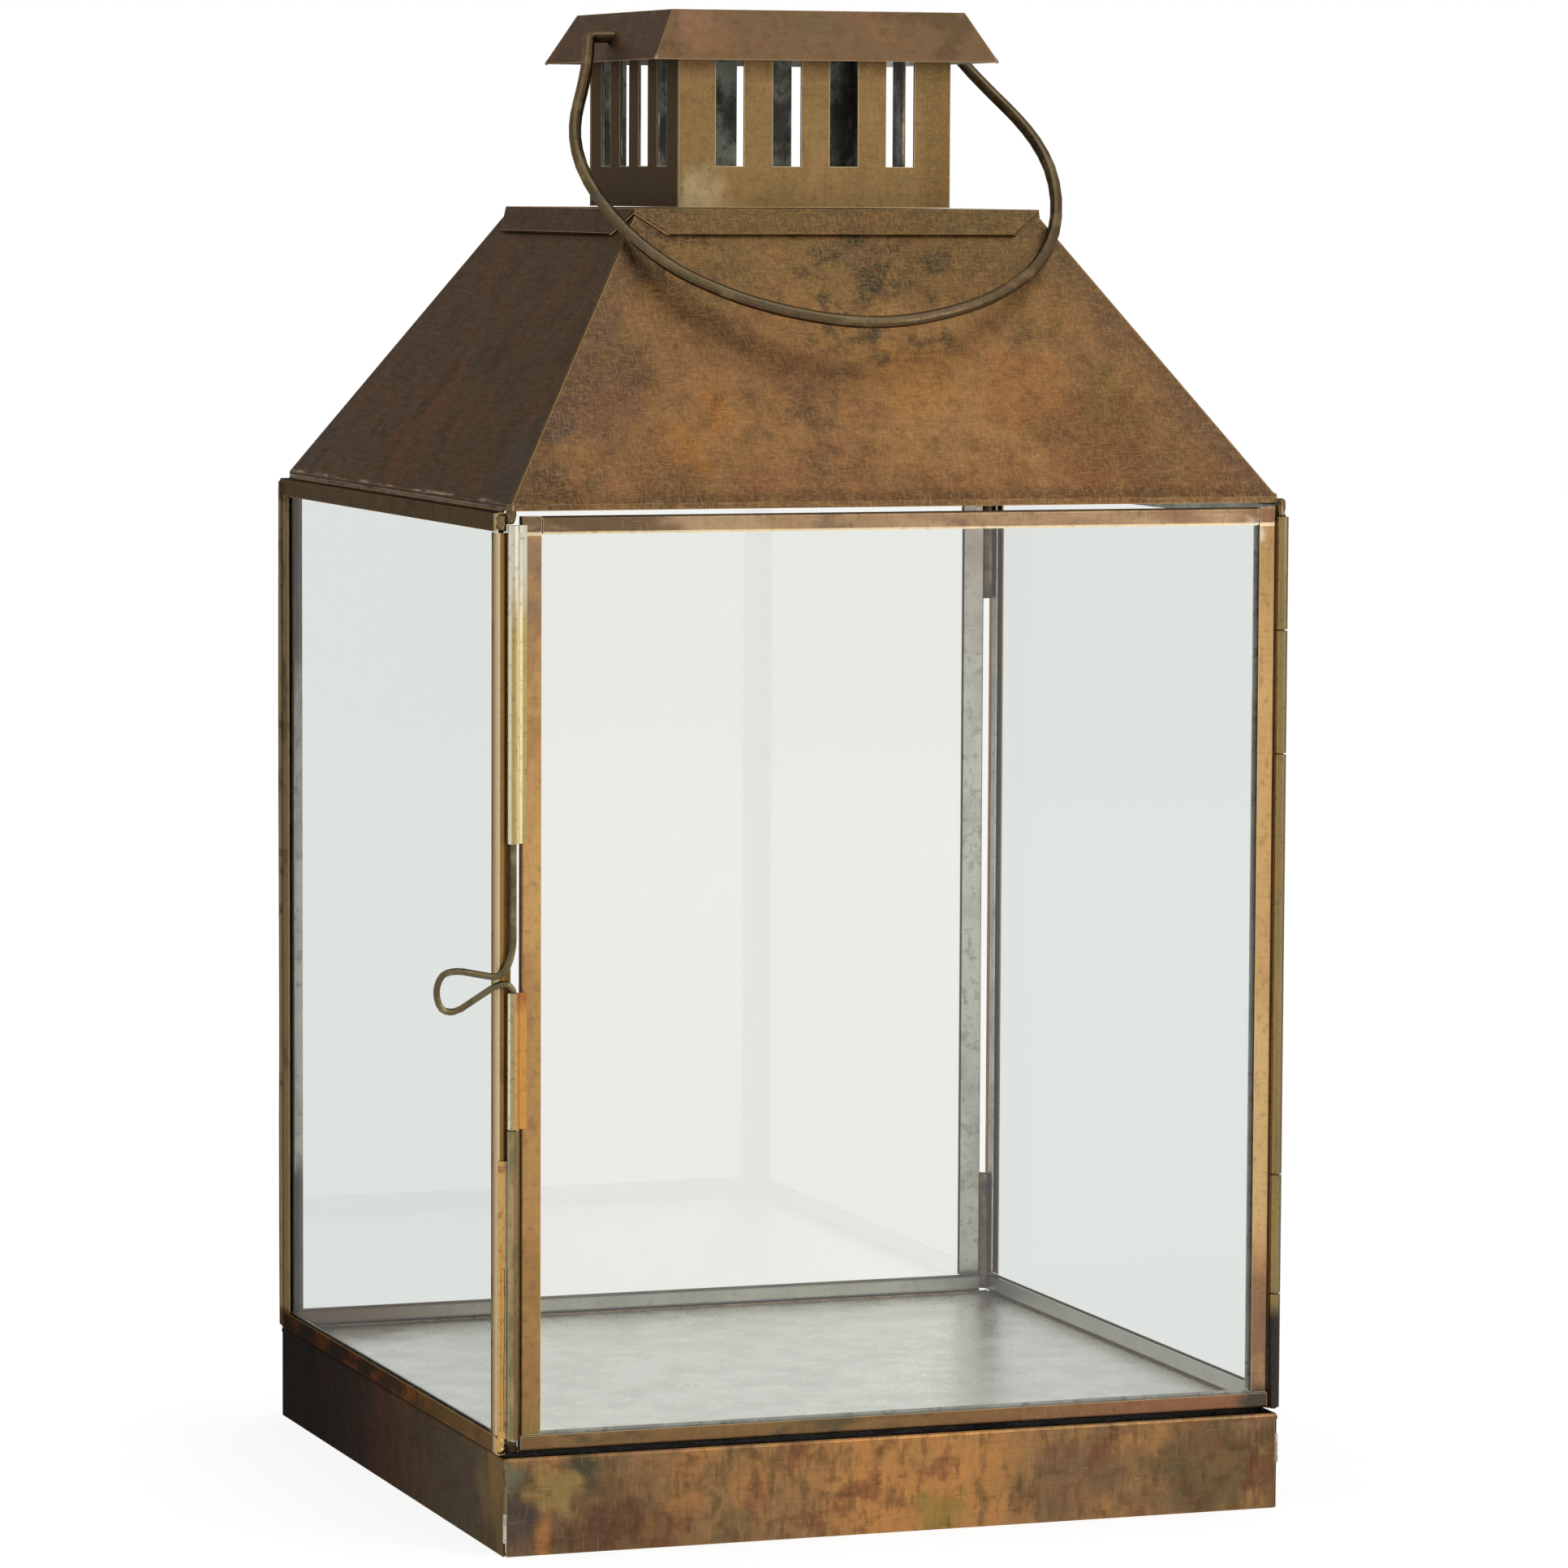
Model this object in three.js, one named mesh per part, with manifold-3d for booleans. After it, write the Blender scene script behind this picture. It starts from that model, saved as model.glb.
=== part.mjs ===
// A square candle lantern of thin patinated brass sheet with four glass panes. A shallow base pan
// carries three glazed frames and a glazed door, a four-sided roof carries a slotted chimney with
// a cap, and a wire bail swings in the cap. The door turns on a long five-part tube hinge and is
// held shut by a looped wire that drops through tubes at its free edge.
// Millimetres, +Z up, the front (door) faces -Y. The origin is the middle of the whole outline in
// plan, latch loop included, at the surface that the lantern stands on.
import * as THREE from "three";
import { mergeVertices } from "three/addons/utils/BufferGeometryUtils.js";
import Module from "manifold-3d";

const wasm = await Module();
wasm.setup();

// Sheet, wire and clearances.
const SHEET = 0.8; // pan, roof, chimney and cap
const CAME_SHEET = 0.4; // the folded channels round the glass
const LEAF_SHEET = 0.5; // tabs of the latch tubes
const REST_GAP = 0.3; // between two pieces that touch or are soldered together
const TUBE_GAP = 0.4; // between the ends of two tubes on one axis

// Base pan. All that follows is laid out round the pan's middle.
const PAN_SIZE = 220;
const PAN_HEIGHT = 26.2;
const PAN_EDGE_RADIUS = 1;
const PAN_SEAM = 0.9; // open seam where two skirts meet at a corner
const PAN_HEM = 6;

// Glazed frames: U channels round a pane.
const FRAME_HEIGHT = 247;
const CAME_THICKNESS = 2.7;
const CAME_BEND = 0.8;
const RAIL_WIDTH = 5;
const FRONT_STILE_WIDTH = 4.6;
const REAR_STILE_WIDTH = 6.3;
const GLASS_THICKNESS = 1.4;
const FRAME_OVERHANG = 1.2; // side frames stand this far outside the pan
const FRONT_SETBACK = 3.2; // pan front to the front of the left frame and of the door
const HINGE_SETBACK = 1.8; // the right frame starts this far behind the left one
const BACK_SETBACK = 3; // pan back to the back of the back frame
const RIGHT_REAR_SETBACK = 1.3; // pan back to the end of the right frame
const BACK_RIGHT_SLIT = 3.1; // open slit between the back frame and the right frame

// Door.
const DOOR_FLOOR_GAP = 0.8;
const DOOR_TOP_GAP = 1.4;
const DOOR_LATCH_GAP = 4; // between the left frame and the door, where the latch tubes lie
const DOOR_LATCH_STILE = 5.5;
const DOOR_HINGE_STILE = 4.8;
const DOOR_TOP_RAIL = 4.7;
const DOOR_BOTTOM_RAIL = 4.2;
const DOOR_INNER_LIP = 0.9; // the back flanges beside the hinge and the foot stand past the front ones

// Latch tubes and wire.
const LATCH_TUBE_RADIUS = 1.65;
const LATCH_BORE_RADIUS = 1.15;
const LATCH_AXIS_INSET = 1.5; // axis to the inner face of the left frame
const LATCH_AXIS_FORWARD = 1.3; // axis in front of the frame's front
const LATCH_LOWER_TUBE = [4.7, 86]; // its ends, above the pan's top
const LATCH_KNUCKLE_LENGTH = 35.8;
const LATCH_UPPER_TUBE_LENGTH = 82.8;
const LATCH_UPPER_TUBE_DROP = 2.2; // below the door's top
const LATCH_LOWER_LEAF_TOP = 78; // above the pan's top
const LATCH_LEAF_ON_FRAME = 3.9;
const LATCH_LIP_WIDTH = 1.4; // lip that the left frame turns out behind the latch tubes
const LATCH_LIP_SETBACK = 0.7;
const LATCH_LIP_THICKNESS = 0.8;
const LATCH_LEAF_ON_DOOR = 3.8;
const LATCH_WIRE_RADIUS = 0.9;
const LATCH_WIRE_IN_UPPER_TUBE = 57.6;
const LATCH_WIRE_IN_LOWER_TUBE = 15;
// Centreline of the wire's loop from its upper leg to its lower one: distance to the left of the
// tube axis, and height above the knuckle's top.
const LATCH_LOOP = [
  [0, 21],
  [0, 17.6],
  [0.1, 12.3],
  [1.3, 7.5],
  [3.1, 5.2],
  [4.9, 4.5],
  [9, 5.1],
  [15.4, 6.2],
  [19.1, 5.3],
  [20.8, 1.2],
  [19.4, -3.5],
  [16.1, -4.3],
  [9.9, -1],
  [4.9, 1.9],
  [3.1, 2.3],
  [1.5, 2.1],
  [0.6, 1.35],
  [0.15, 0.6],
  [0, -0.5],
  [0, -3],
];

// Hinge tubes and pin. The middle tube fills what the other four leave of the hinge's length.
const HINGE_TUBE_RADIUS = 1.55;
const HINGE_BORE_RADIUS = 1.08;
const HINGE_PIN_RADIUS = 0.82;
const HINGE_AXIS_INSET = 1.1; // axis to the outer face of the right frame
const HINGE_BOTTOM = 1.1; // above the pan's top
const HINGE_TOP_DROP = 3.7; // below the frame's top
const HINGE_LOWER_LENGTHS = [31.1, 32.2];
const HINGE_UPPER_LENGTHS = [33.1, 30.3];
const HINGE_PIN_END = 0.5;

// Roof, and the plate that closes its top.
const EAVE_SETBACK = 2.15; // pan edge to the roof's lower edge
const EAVE_BAND = 1.6;
const EAVE_HEM = 6;
const ROOF_RISE = 76.4; // from the top of the eave band to the top of the plate
const PLATE_SIZE = 116.1;
const PLATE_FLAP = 8;
const PLATE_FLAP_MITRE = 9.5;
const PLATE_HOLE = 74.8;

// Chimney and cap.
const CHIMNEY_SIZE = 78.4;
const CHIMNEY_SLOTS = 4;
const SLOT_WIDTH = 8.2;
const SLOT_PITCH = 16.4;
const SLOT_BOTTOM = 11.1;
const SLOT_HEIGHT = 31.8;
const CAP_SIZE = 98.9;
const CAP_TOP_SIZE = 84.2;
const CAP_EAVE_ABOVE_PLATE = 39.9;
const CAP_HEIGHT = 13.6;
const CAP_HOLE_RADIUS = 2;

// Bail. It lies against the front of the roof, and its plane dips this far below level.
const BAIL_WIRE_RADIUS = 1.7;
const BAIL_AXIS_ABOVE_CAP_EAVE = 6.8;
const BAIL_REST_DIP = 39.55;
const BAIL_STUB_END = 40.5;
const BAIL_BEND_RADIUS = 3;
const BAIL_LEAN = 2; // the hand-bent bow leans to the left at its widest reach
const BAIL_SHOULDER = 53;
// The bow's centreline beyond the shoulder: distance from the pivot axis, and half width.
const BAIL_BOW = [
  [14.6, 56.5],
  [24.4, 60.2],
  [34.1, 64],
  [43.9, 66.6],
  [55.5, 67.5],
  [69.2, 65.6],
  [82.9, 61],
  [92.7, 55.3],
  [99.5, 49.8],
  [105.4, 42.7],
  [110.3, 35.2],
  [114.2, 27],
  [117.4, 17.5],
  [119.4, 8.5],
];
const BAIL_REACH = 120;

// The latch loop stands out on the left, so the pan's middle is this far right of the origin.
const PAN_FROM_ORIGIN = 8.5;

// Heights and faces that follow from the sizes above.
const panHalf = PAN_SIZE / 2;
const frameBottom = PAN_HEIGHT + REST_GAP;
const frameTop = frameBottom + FRAME_HEIGHT;
const sideOuter = panHalf + FRAME_OVERHANG;
const sideInner = sideOuter - CAME_THICKNESS;
const leftFront = -panHalf + FRONT_SETBACK;
const backOuter = panHalf - BACK_SETBACK;
const backInner = backOuter - CAME_THICKNESS;
const roofBottom = frameTop + REST_GAP;
const doorBottom = PAN_HEIGHT + DOOR_FLOOR_GAP;
const doorHeight = roofBottom - DOOR_TOP_GAP - doorBottom;
const doorLeft = -sideInner + DOOR_LATCH_GAP;
const doorWidth = sideInner - REST_GAP - doorLeft;
const upperTubeTop = doorBottom + doorHeight - LATCH_UPPER_TUBE_DROP;
const upperTubeBottom = upperTubeTop - LATCH_UPPER_TUBE_LENGTH;
const latchX = -sideInner + LATCH_AXIS_INSET;
const latchY = leftFront - LATCH_AXIS_FORWARD;
const knuckleBottom = PAN_HEIGHT + LATCH_LOWER_TUBE[1] + TUBE_GAP;
const knuckleTop = knuckleBottom + LATCH_KNUCKLE_LENGTH;
const hingeX = sideOuter - HINGE_AXIS_INSET;
const hingeY = leftFront - 0.1;
const eaveHalf = panHalf - EAVE_SETBACK;
const slopeBottom = roofBottom + EAVE_BAND;
const plateHalf = PLATE_SIZE / 2;
const plateTop = slopeBottom + ROOF_RISE;
// The roof sheet passes one sheet and a gap under the plate's folded edge.
const roofTilt =
  Math.atan2(eaveHalf - plateHalf, ROOF_RISE) +
  Math.asin((SHEET + REST_GAP) / Math.hypot(eaveHalf - plateHalf, ROOF_RISE));
const capBottom = plateTop + CAP_EAVE_ABOVE_PLATE;
const capTop = capBottom + CAP_HEIGHT;
const chimneyBottom = plateTop + REST_GAP;
const chimneyHeight = capTop - SHEET - REST_GAP - chimneyBottom;

// Finishes.
const finish = (color, roughness, metalness) =>
  new THREE.MeshStandardMaterial({ color, roughness, metalness });
const panBrass = finish("#6d5537", 0.45, 0.9);
const cameBrass = finish("#7a6238", 0.4, 0.9);
const darkBrass = finish("#4b3a2b", 0.45, 0.9);
const roofBrass = finish("#75502f", 0.42, 0.9);
const chimneyBrass = finish("#86713d", 0.5, 0.9);
const capBrass = finish("#7c5a3b", 0.45, 0.9);
const tubeBrass = finish("#a08a55", 0.35, 0.9);
const wireBrass = finish("#8a7c55", 0.4, 0.9);
const paneGlass = new THREE.MeshStandardMaterial({
  color: "#e2e5e3",
  roughness: 0.04,
  metalness: 0,
  transparent: true,
  opacity: 0.25,
});

// A closed geometry as a solid for joining and cutting.
function solidOf(geometry) {
  const bare = geometry.clone();
  bare.deleteAttribute("normal");
  bare.deleteAttribute("uv");
  const merged = mergeVertices(bare, 1e-4);
  return new wasm.Manifold(
    new wasm.Mesh({
      numProp: 3,
      vertProperties: merged.attributes.position.array,
      triVerts: new Uint32Array(merged.index.array),
    }),
  );
}

function geometryOf(solid) {
  const mesh = solid.getMesh();
  const geometry = new THREE.BufferGeometry();
  geometry.setAttribute(
    "position",
    new THREE.BufferAttribute(mesh.vertProperties, 3),
  );
  geometry.setIndex(new THREE.BufferAttribute(mesh.triVerts, 1));
  const flat = geometry.toNonIndexed();
  flat.computeVertexNormals();
  return flat;
}

function piece(name, geometry, material) {
  const mesh = new THREE.Mesh(geometry, material);
  mesh.name = name;
  return mesh;
}

function boxBetween(low, high) {
  return new THREE.BoxGeometry(
    high[0] - low[0],
    high[1] - low[1],
    high[2] - low[2],
  ).translate(
    (low[0] + high[0]) / 2,
    (low[1] + high[1]) / 2,
    (low[2] + high[2]) / 2,
  );
}

// A box centred on the Z axis, square in plan.
function squareBlock(half, low, high) {
  return boxBetween([-half, -half, low], [half, half, high]);
}

function prism(points, low, high) {
  const shape = new THREE.Shape(points.map(([x, y]) => new THREE.Vector2(x, y)));
  return new THREE.ExtrudeGeometry(shape, {
    depth: high - low,
    bevelEnabled: false,
  }).translate(0, 0, low);
}

// A square frustum on the Z axis.
function frustum(lowHalf, highHalf, low, high) {
  return new THREE.CylinderGeometry(
    highHalf * Math.SQRT2,
    lowHalf * Math.SQRT2,
    high - low,
    4,
  )
    .rotateY(Math.PI / 4)
    .rotateX(Math.PI / 2)
    .translate(0, 0, (low + high) / 2);
}

// A profile of [distance in front of the Z axis, height] points, run along X.
function frontStrip(profile, length) {
  return prism(profile, 0, length)
    .applyMatrix4(
      new THREE.Matrix4().makeBasis(
        new THREE.Vector3(0, -1, 0),
        new THREE.Vector3(0, 0, 1),
        new THREE.Vector3(-1, 0, 0),
      ),
    )
    .translate(length / 2, 0, 0);
}

// The same piece on the four sides of a square: front, right, back, left.
function onFourSides(names, geometry, material) {
  const group = new THREE.Group();
  names.forEach((name, turn) => {
    const side = piece(name, geometry, material);
    side.rotation.z = (turn * Math.PI) / 2;
    group.add(side);
  });
  return group;
}

// Base pan: a floor with four folded skirts, open at the corner seams, and a hem to stand on.
function basePan() {
  const inner = panHalf - SHEET;
  const outline = panHalf - PAN_EDGE_RADIUS;
  const block = new THREE.ExtrudeGeometry(
    new THREE.Shape([
      new THREE.Vector2(-outline, -outline),
      new THREE.Vector2(outline, -outline),
      new THREE.Vector2(outline, outline),
      new THREE.Vector2(-outline, outline),
    ]),
    {
      depth: PAN_HEIGHT + PAN_EDGE_RADIUS,
      bevelSize: PAN_EDGE_RADIUS,
      bevelThickness: PAN_EDGE_RADIUS,
      bevelSegments: 3,
    },
  ).translate(0, 0, -2 * PAN_EDGE_RADIUS);
  let pan = solidOf(block)
    .intersect(solidOf(squareBlock(PAN_SIZE, 0, 2 * PAN_HEIGHT)))
    .subtract(solidOf(squareBlock(inner, SHEET, PAN_HEIGHT - SHEET)))
    .subtract(solidOf(squareBlock(panHalf - PAN_HEM, -SHEET, 2 * SHEET)));
  const seamTop = PAN_HEIGHT - SHEET - PAN_EDGE_RADIUS;
  for (let corner = 0; corner < 4; corner++) {
    const seam = boxBetween(
      [-PAN_SEAM / 2, -2 * PAN_HEM, -SHEET],
      [PAN_SEAM / 2, 2 * PAN_HEM, seamTop],
    )
      .translate(0, panHalf * Math.SQRT2, 0)
      .rotateZ(((2 * corner + 1) * Math.PI) / 4);
    pan = pan.subtract(solidOf(seam));
  }
  return piece("base_pan", geometryOf(pan), panBrass);
}

// A folded U channel that runs up from z = 0. Its web is at x = 0, its flanges run to x = width,
// or the one at +y to x = otherWidth.
function channel(width, length, otherWidth = width) {
  const half = CAME_THICKNESS / 2;
  const shape = new THREE.Shape();
  shape.moveTo(width, -half + CAME_SHEET);
  shape.lineTo(CAME_SHEET, -half + CAME_SHEET);
  shape.lineTo(CAME_SHEET, half - CAME_SHEET);
  shape.lineTo(otherWidth, half - CAME_SHEET);
  shape.lineTo(otherWidth, half);
  shape.absarc(CAME_BEND, half - CAME_BEND, CAME_BEND, Math.PI / 2, Math.PI);
  shape.absarc(CAME_BEND, -half + CAME_BEND, CAME_BEND, Math.PI, 1.5 * Math.PI);
  shape.lineTo(width, -half);
  return new THREE.ExtrudeGeometry(shape, {
    depth: length,
    bevelEnabled: false,
    curveSegments: 2,
  });
}

// The same channel with a lip folded out of one flange, which closes the slit beside the latch.
function lippedChannel(width, length) {
  const flange = -CAME_THICKNESS / 2;
  const lip = boxBetween(
    [LATCH_LIP_SETBACK, flange - LATCH_LIP_WIDTH, 0],
    [LATCH_LIP_SETBACK + LATCH_LIP_THICKNESS, flange + CAME_SHEET / 2, length],
  );
  return geometryOf(solidOf(channel(width, length)).add(solidOf(lip)));
}

// A door channel whose back flange is wider than its front one between low and high. The back
// flange is the one at +y where side is 1, and at -y where it is -1.
function doorChannel(width, length, side, low, high) {
  const wide = width + DOOR_INNER_LIP;
  const whole = side > 0 ? channel(width, length, wide) : channel(wide, length, width);
  const flangeSide = side * CAME_THICKNESS;
  const cut = ([from, to]) =>
    solidOf(
      boxBetween(
        [width, Math.min(0, flangeSide), from],
        [width + wide, Math.max(0, flangeSide), to],
      ),
    );
  const below = cut([-SHEET, low]);
  const above = cut([high, length + SHEET]);
  return geometryOf(solidOf(whole).subtract(below).subtract(above));
}

function bottomRail(name, fold, length, material) {
  const rail = piece(name, fold, material);
  rail.rotation.y = -Math.PI / 2;
  rail.position.x = length;
  return rail;
}

function topRail(name, railWidth, length, height, material) {
  const rail = piece(name, channel(railWidth, length), material);
  rail.rotation.y = Math.PI / 2;
  rail.position.z = height;
  return rail;
}

function pane(name, width, height) {
  const play = CAME_SHEET + REST_GAP;
  const glass = new THREE.BoxGeometry(
    width - 2 * play,
    GLASS_THICKNESS,
    height - 2 * play,
  );
  const mesh = piece(name, glass, paneGlass);
  mesh.position.set(width / 2, 0, height / 2);
  return mesh;
}

// A fixed frame in its own plane: x along its width, z up, its thickness centred on y = 0.
// The rails run the whole width and the stiles stand between them.
function glazedFrame(name, width, first, second, material) {
  const [firstSide, firstWidth, firstFold = channel] = first;
  const [secondSide, secondWidth] = second;
  const frame = new THREE.Group();
  const stileBottom = RAIL_WIDTH + REST_GAP;
  const stileLength = FRAME_HEIGHT - 2 * stileBottom;
  const left = piece(
    `${name}_frame_${firstSide}_stile`,
    firstFold(firstWidth, stileLength),
    material,
  );
  left.position.z = stileBottom;
  const right = piece(
    `${name}_frame_${secondSide}_stile`,
    channel(secondWidth, stileLength),
    material,
  );
  right.rotation.z = Math.PI;
  right.position.set(width, 0, stileBottom);
  frame.add(
    bottomRail(`${name}_frame_bottom_rail`, channel(RAIL_WIDTH, width), width, material),
    topRail(`${name}_frame_top_rail`, RAIL_WIDTH, width, FRAME_HEIGHT, material),
    left,
    right,
    pane(`${name}_glass`, width, FRAME_HEIGHT),
  );
  return frame;
}

function leftFrame() {
  const frame = glazedFrame(
    "left",
    backInner - REST_GAP - leftFront,
    ["front", FRONT_STILE_WIDTH, lippedChannel],
    ["rear", REAR_STILE_WIDTH],
    darkBrass,
  );
  frame.rotation.z = Math.PI / 2;
  frame.position.set(-sideOuter + CAME_THICKNESS / 2, leftFront, frameBottom);
  return frame;
}

function rightFrame() {
  const front = leftFront + HINGE_SETBACK;
  const frame = glazedFrame(
    "right",
    panHalf - RIGHT_REAR_SETBACK - front,
    ["front", FRONT_STILE_WIDTH],
    ["rear", REAR_STILE_WIDTH],
    cameBrass,
  );
  frame.rotation.z = Math.PI / 2;
  frame.position.set(sideOuter - CAME_THICKNESS / 2, front, frameBottom);
  return frame;
}

function backFrame() {
  const left = -sideOuter + REST_GAP;
  const frame = glazedFrame(
    "back",
    sideInner - BACK_RIGHT_SLIT - left,
    ["left", REAR_STILE_WIDTH],
    ["right", REAR_STILE_WIDTH],
    cameBrass,
  );
  frame.position.set(left, backOuter - CAME_THICKNESS / 2, frameBottom);
  return frame;
}

// The door's stiles run up to its top, and its bottom rail runs under both of them.
function doorFrame() {
  const frame = new THREE.Group();
  const stileBottom = DOOR_BOTTOM_RAIL + REST_GAP;
  const stileLength = doorHeight - stileBottom;
  const latchStile = piece(
    "door_latch_stile",
    channel(DOOR_LATCH_STILE, stileLength),
    cameBrass,
  );
  latchStile.position.z = stileBottom;
  const hingeStile = piece(
    "door_hinge_stile",
    doorChannel(
      DOOR_HINGE_STILE,
      stileLength,
      -1,
      DOOR_INNER_LIP,
      stileLength - DOOR_TOP_RAIL - REST_GAP,
    ),
    cameBrass,
  );
  hingeStile.rotation.z = Math.PI;
  hingeStile.position.set(doorWidth, 0, stileBottom);
  const railLength =
    doorWidth - DOOR_LATCH_STILE - DOOR_HINGE_STILE - 2 * REST_GAP;
  const upper = topRail(
    "door_top_rail",
    DOOR_TOP_RAIL,
    railLength,
    doorHeight,
    darkBrass,
  );
  upper.position.x = DOOR_LATCH_STILE + REST_GAP;
  const lowerFold = doorChannel(
    DOOR_BOTTOM_RAIL,
    doorWidth,
    1,
    DOOR_HINGE_STILE + REST_GAP,
    doorWidth - DOOR_LATCH_STILE - REST_GAP,
  );
  frame.add(
    latchStile,
    hingeStile,
    upper,
    bottomRail("door_bottom_rail", lowerFold, doorWidth, cameBrass),
    pane("door_glass", doorWidth, doorHeight),
  );
  frame.position.set(doorLeft, leftFront + CAME_THICKNESS / 2, doorBottom);
  return frame;
}

function rod(radius, low, high, sides) {
  return new THREE.CylinderGeometry(radius, radius, high - low, sides)
    .rotateX(Math.PI / 2)
    .translate(0, 0, (low + high) / 2);
}

// A latch tube with a flat tab behind its axis: reach is the tab's end, to the left or the right.
function latchTube(name, low, high, reach, tabTop) {
  const tabBack = LATCH_AXIS_FORWARD - REST_GAP;
  const tab = boxBetween(
    [Math.min(0, reach), tabBack - LEAF_SHEET, low],
    [Math.max(0, reach), tabBack, tabTop],
  );
  const tube = solidOf(rod(LATCH_TUBE_RADIUS, low, high, 20))
    .add(solidOf(tab))
    .subtract(solidOf(rod(LATCH_BORE_RADIUS, low - 1, high + 1, 20)));
  const mesh = piece(name, geometryOf(tube), tubeBrass);
  mesh.position.set(latchX, latchY, 0);
  return mesh;
}

function latchTubes() {
  const lowerBottom = PAN_HEIGHT + LATCH_LOWER_TUBE[0];
  const lowerTop = PAN_HEIGHT + LATCH_LOWER_TUBE[1];
  const leafTop = PAN_HEIGHT + LATCH_LOWER_LEAF_TOP;
  return [
    latchTube("latch_tube_lower", lowerBottom, lowerTop, -LATCH_LEAF_ON_FRAME, leafTop),
    latchTube("door_latch_knuckle", knuckleBottom, knuckleTop, LATCH_LEAF_ON_DOOR, knuckleTop),
    latchTube(
      "door_latch_tube",
      upperTubeBottom,
      upperTubeTop,
      LATCH_LEAF_ON_DOOR,
      upperTubeTop,
    ),
  ];
}

// A smooth path whose steps follow its points, so that tight bends get the shortest steps.
class PointedPath extends THREE.CatmullRomCurve3 {
  getPointAt(u, target) {
    return this.getPoint(u, target);
  }

  getTangentAt(u, target) {
    return this.getTangent(u, target);
  }
}

function bentWire(points, radius, stepsPerSpan, sides) {
  const path = new PointedPath(points, false, "centripetal");
  const round = [];
  for (let side = 0; side < sides; side++) {
    const angle = (2 * Math.PI * side) / sides;
    round.push(
      new THREE.Vector2(radius * Math.cos(angle), radius * Math.sin(angle)),
    );
  }
  return new THREE.ExtrudeGeometry(new THREE.Shape(round), {
    steps: stepsPerSpan * (points.length - 1),
    extrudePath: path,
  });
}

function latchWire() {
  const legEnd =
    PAN_HEIGHT + LATCH_LOWER_TUBE[1] - LATCH_WIRE_IN_LOWER_TUBE - knuckleTop;
  const legTop = upperTubeBottom + LATCH_WIRE_IN_UPPER_TUBE - knuckleTop;
  const line = [[0, legTop], ...LATCH_LOOP, [0, legEnd]];
  const points = line.map(([left, up]) => new THREE.Vector3(-left, 0, up));
  const wire = piece(
    "latch_pin",
    bentWire(points, LATCH_WIRE_RADIUS, 3, 8),
    wireBrass,
  );
  wire.position.set(latchX, latchY, knuckleTop);
  return wire;
}

// Five tubes in line on one pin: the first, third and fifth belong to the lantern, the second and
// fourth to the door.
function hinge() {
  const group = new THREE.Group();
  const names = [
    "hinge_tube_bottom",
    "door_hinge_tube_lower",
    "hinge_tube_middle",
    "door_hinge_tube_upper",
    "hinge_tube_top",
  ];
  const top = frameTop - HINGE_TOP_DROP - PAN_HEIGHT;
  const four = [...HINGE_LOWER_LENGTHS, ...HINGE_UPPER_LENGTHS];
  const middle =
    top - HINGE_BOTTOM - four.reduce((sum, length) => sum + length + TUBE_GAP, 0);
  const lengths = [...HINGE_LOWER_LENGTHS, middle, ...HINGE_UPPER_LENGTHS];
  let low = HINGE_BOTTOM;
  names.forEach((name, index) => {
    const high = low + lengths[index];
    const tube = solidOf(rod(HINGE_TUBE_RADIUS, low, high, 16)).subtract(
      solidOf(rod(HINGE_BORE_RADIUS, low - 1, high + 1, 16)),
    );
    group.add(piece(name, geometryOf(tube), tubeBrass));
    low = high + TUBE_GAP;
  });
  group.add(
    piece(
      "hinge_pin",
      rod(HINGE_PIN_RADIUS, HINGE_BOTTOM - HINGE_PIN_END, top + HINGE_PIN_END, 12),
      wireBrass,
    ),
  );
  group.position.set(hingeX, hingeY, PAN_HEIGHT);
  return group;
}

// One roof panel: a sloping sheet with a short upright band and an inward hem at the eave, cut at
// its hips so that it meets its neighbours with a fine seam.
function roof() {
  const slopeTop = plateTop - SHEET - REST_GAP;
  const across = SHEET / Math.cos(roofTilt);
  const outerAt = (z) => eaveHalf - (z - slopeBottom) * Math.tan(roofTilt);
  const foldHeight = roofBottom + SHEET;
  const profile = [
    [eaveHalf - EAVE_HEM, roofBottom],
    [eaveHalf, roofBottom],
    [eaveHalf, slopeBottom],
    [outerAt(slopeTop), slopeTop],
    [outerAt(slopeTop) - across, slopeTop],
    [outerAt(slopeBottom) - across, slopeBottom],
    [outerAt(slopeBottom) - across, foldHeight],
    [eaveHalf - EAVE_HEM, foldHeight],
  ];
  const seam = REST_GAP * Math.SQRT1_2;
  const reach = PAN_SIZE;
  const wedge = prism(
    [
      [0, -seam],
      [-reach, -reach - seam],
      [reach, -reach - seam],
    ],
    0,
    plateTop,
  );
  const panel = solidOf(frontStrip(profile, PAN_SIZE)).intersect(solidOf(wedge));
  return onFourSides(
    ["roof_front", "roof_right", "roof_back", "roof_left"],
    geometryOf(panel),
    roofBrass,
  );
}

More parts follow.
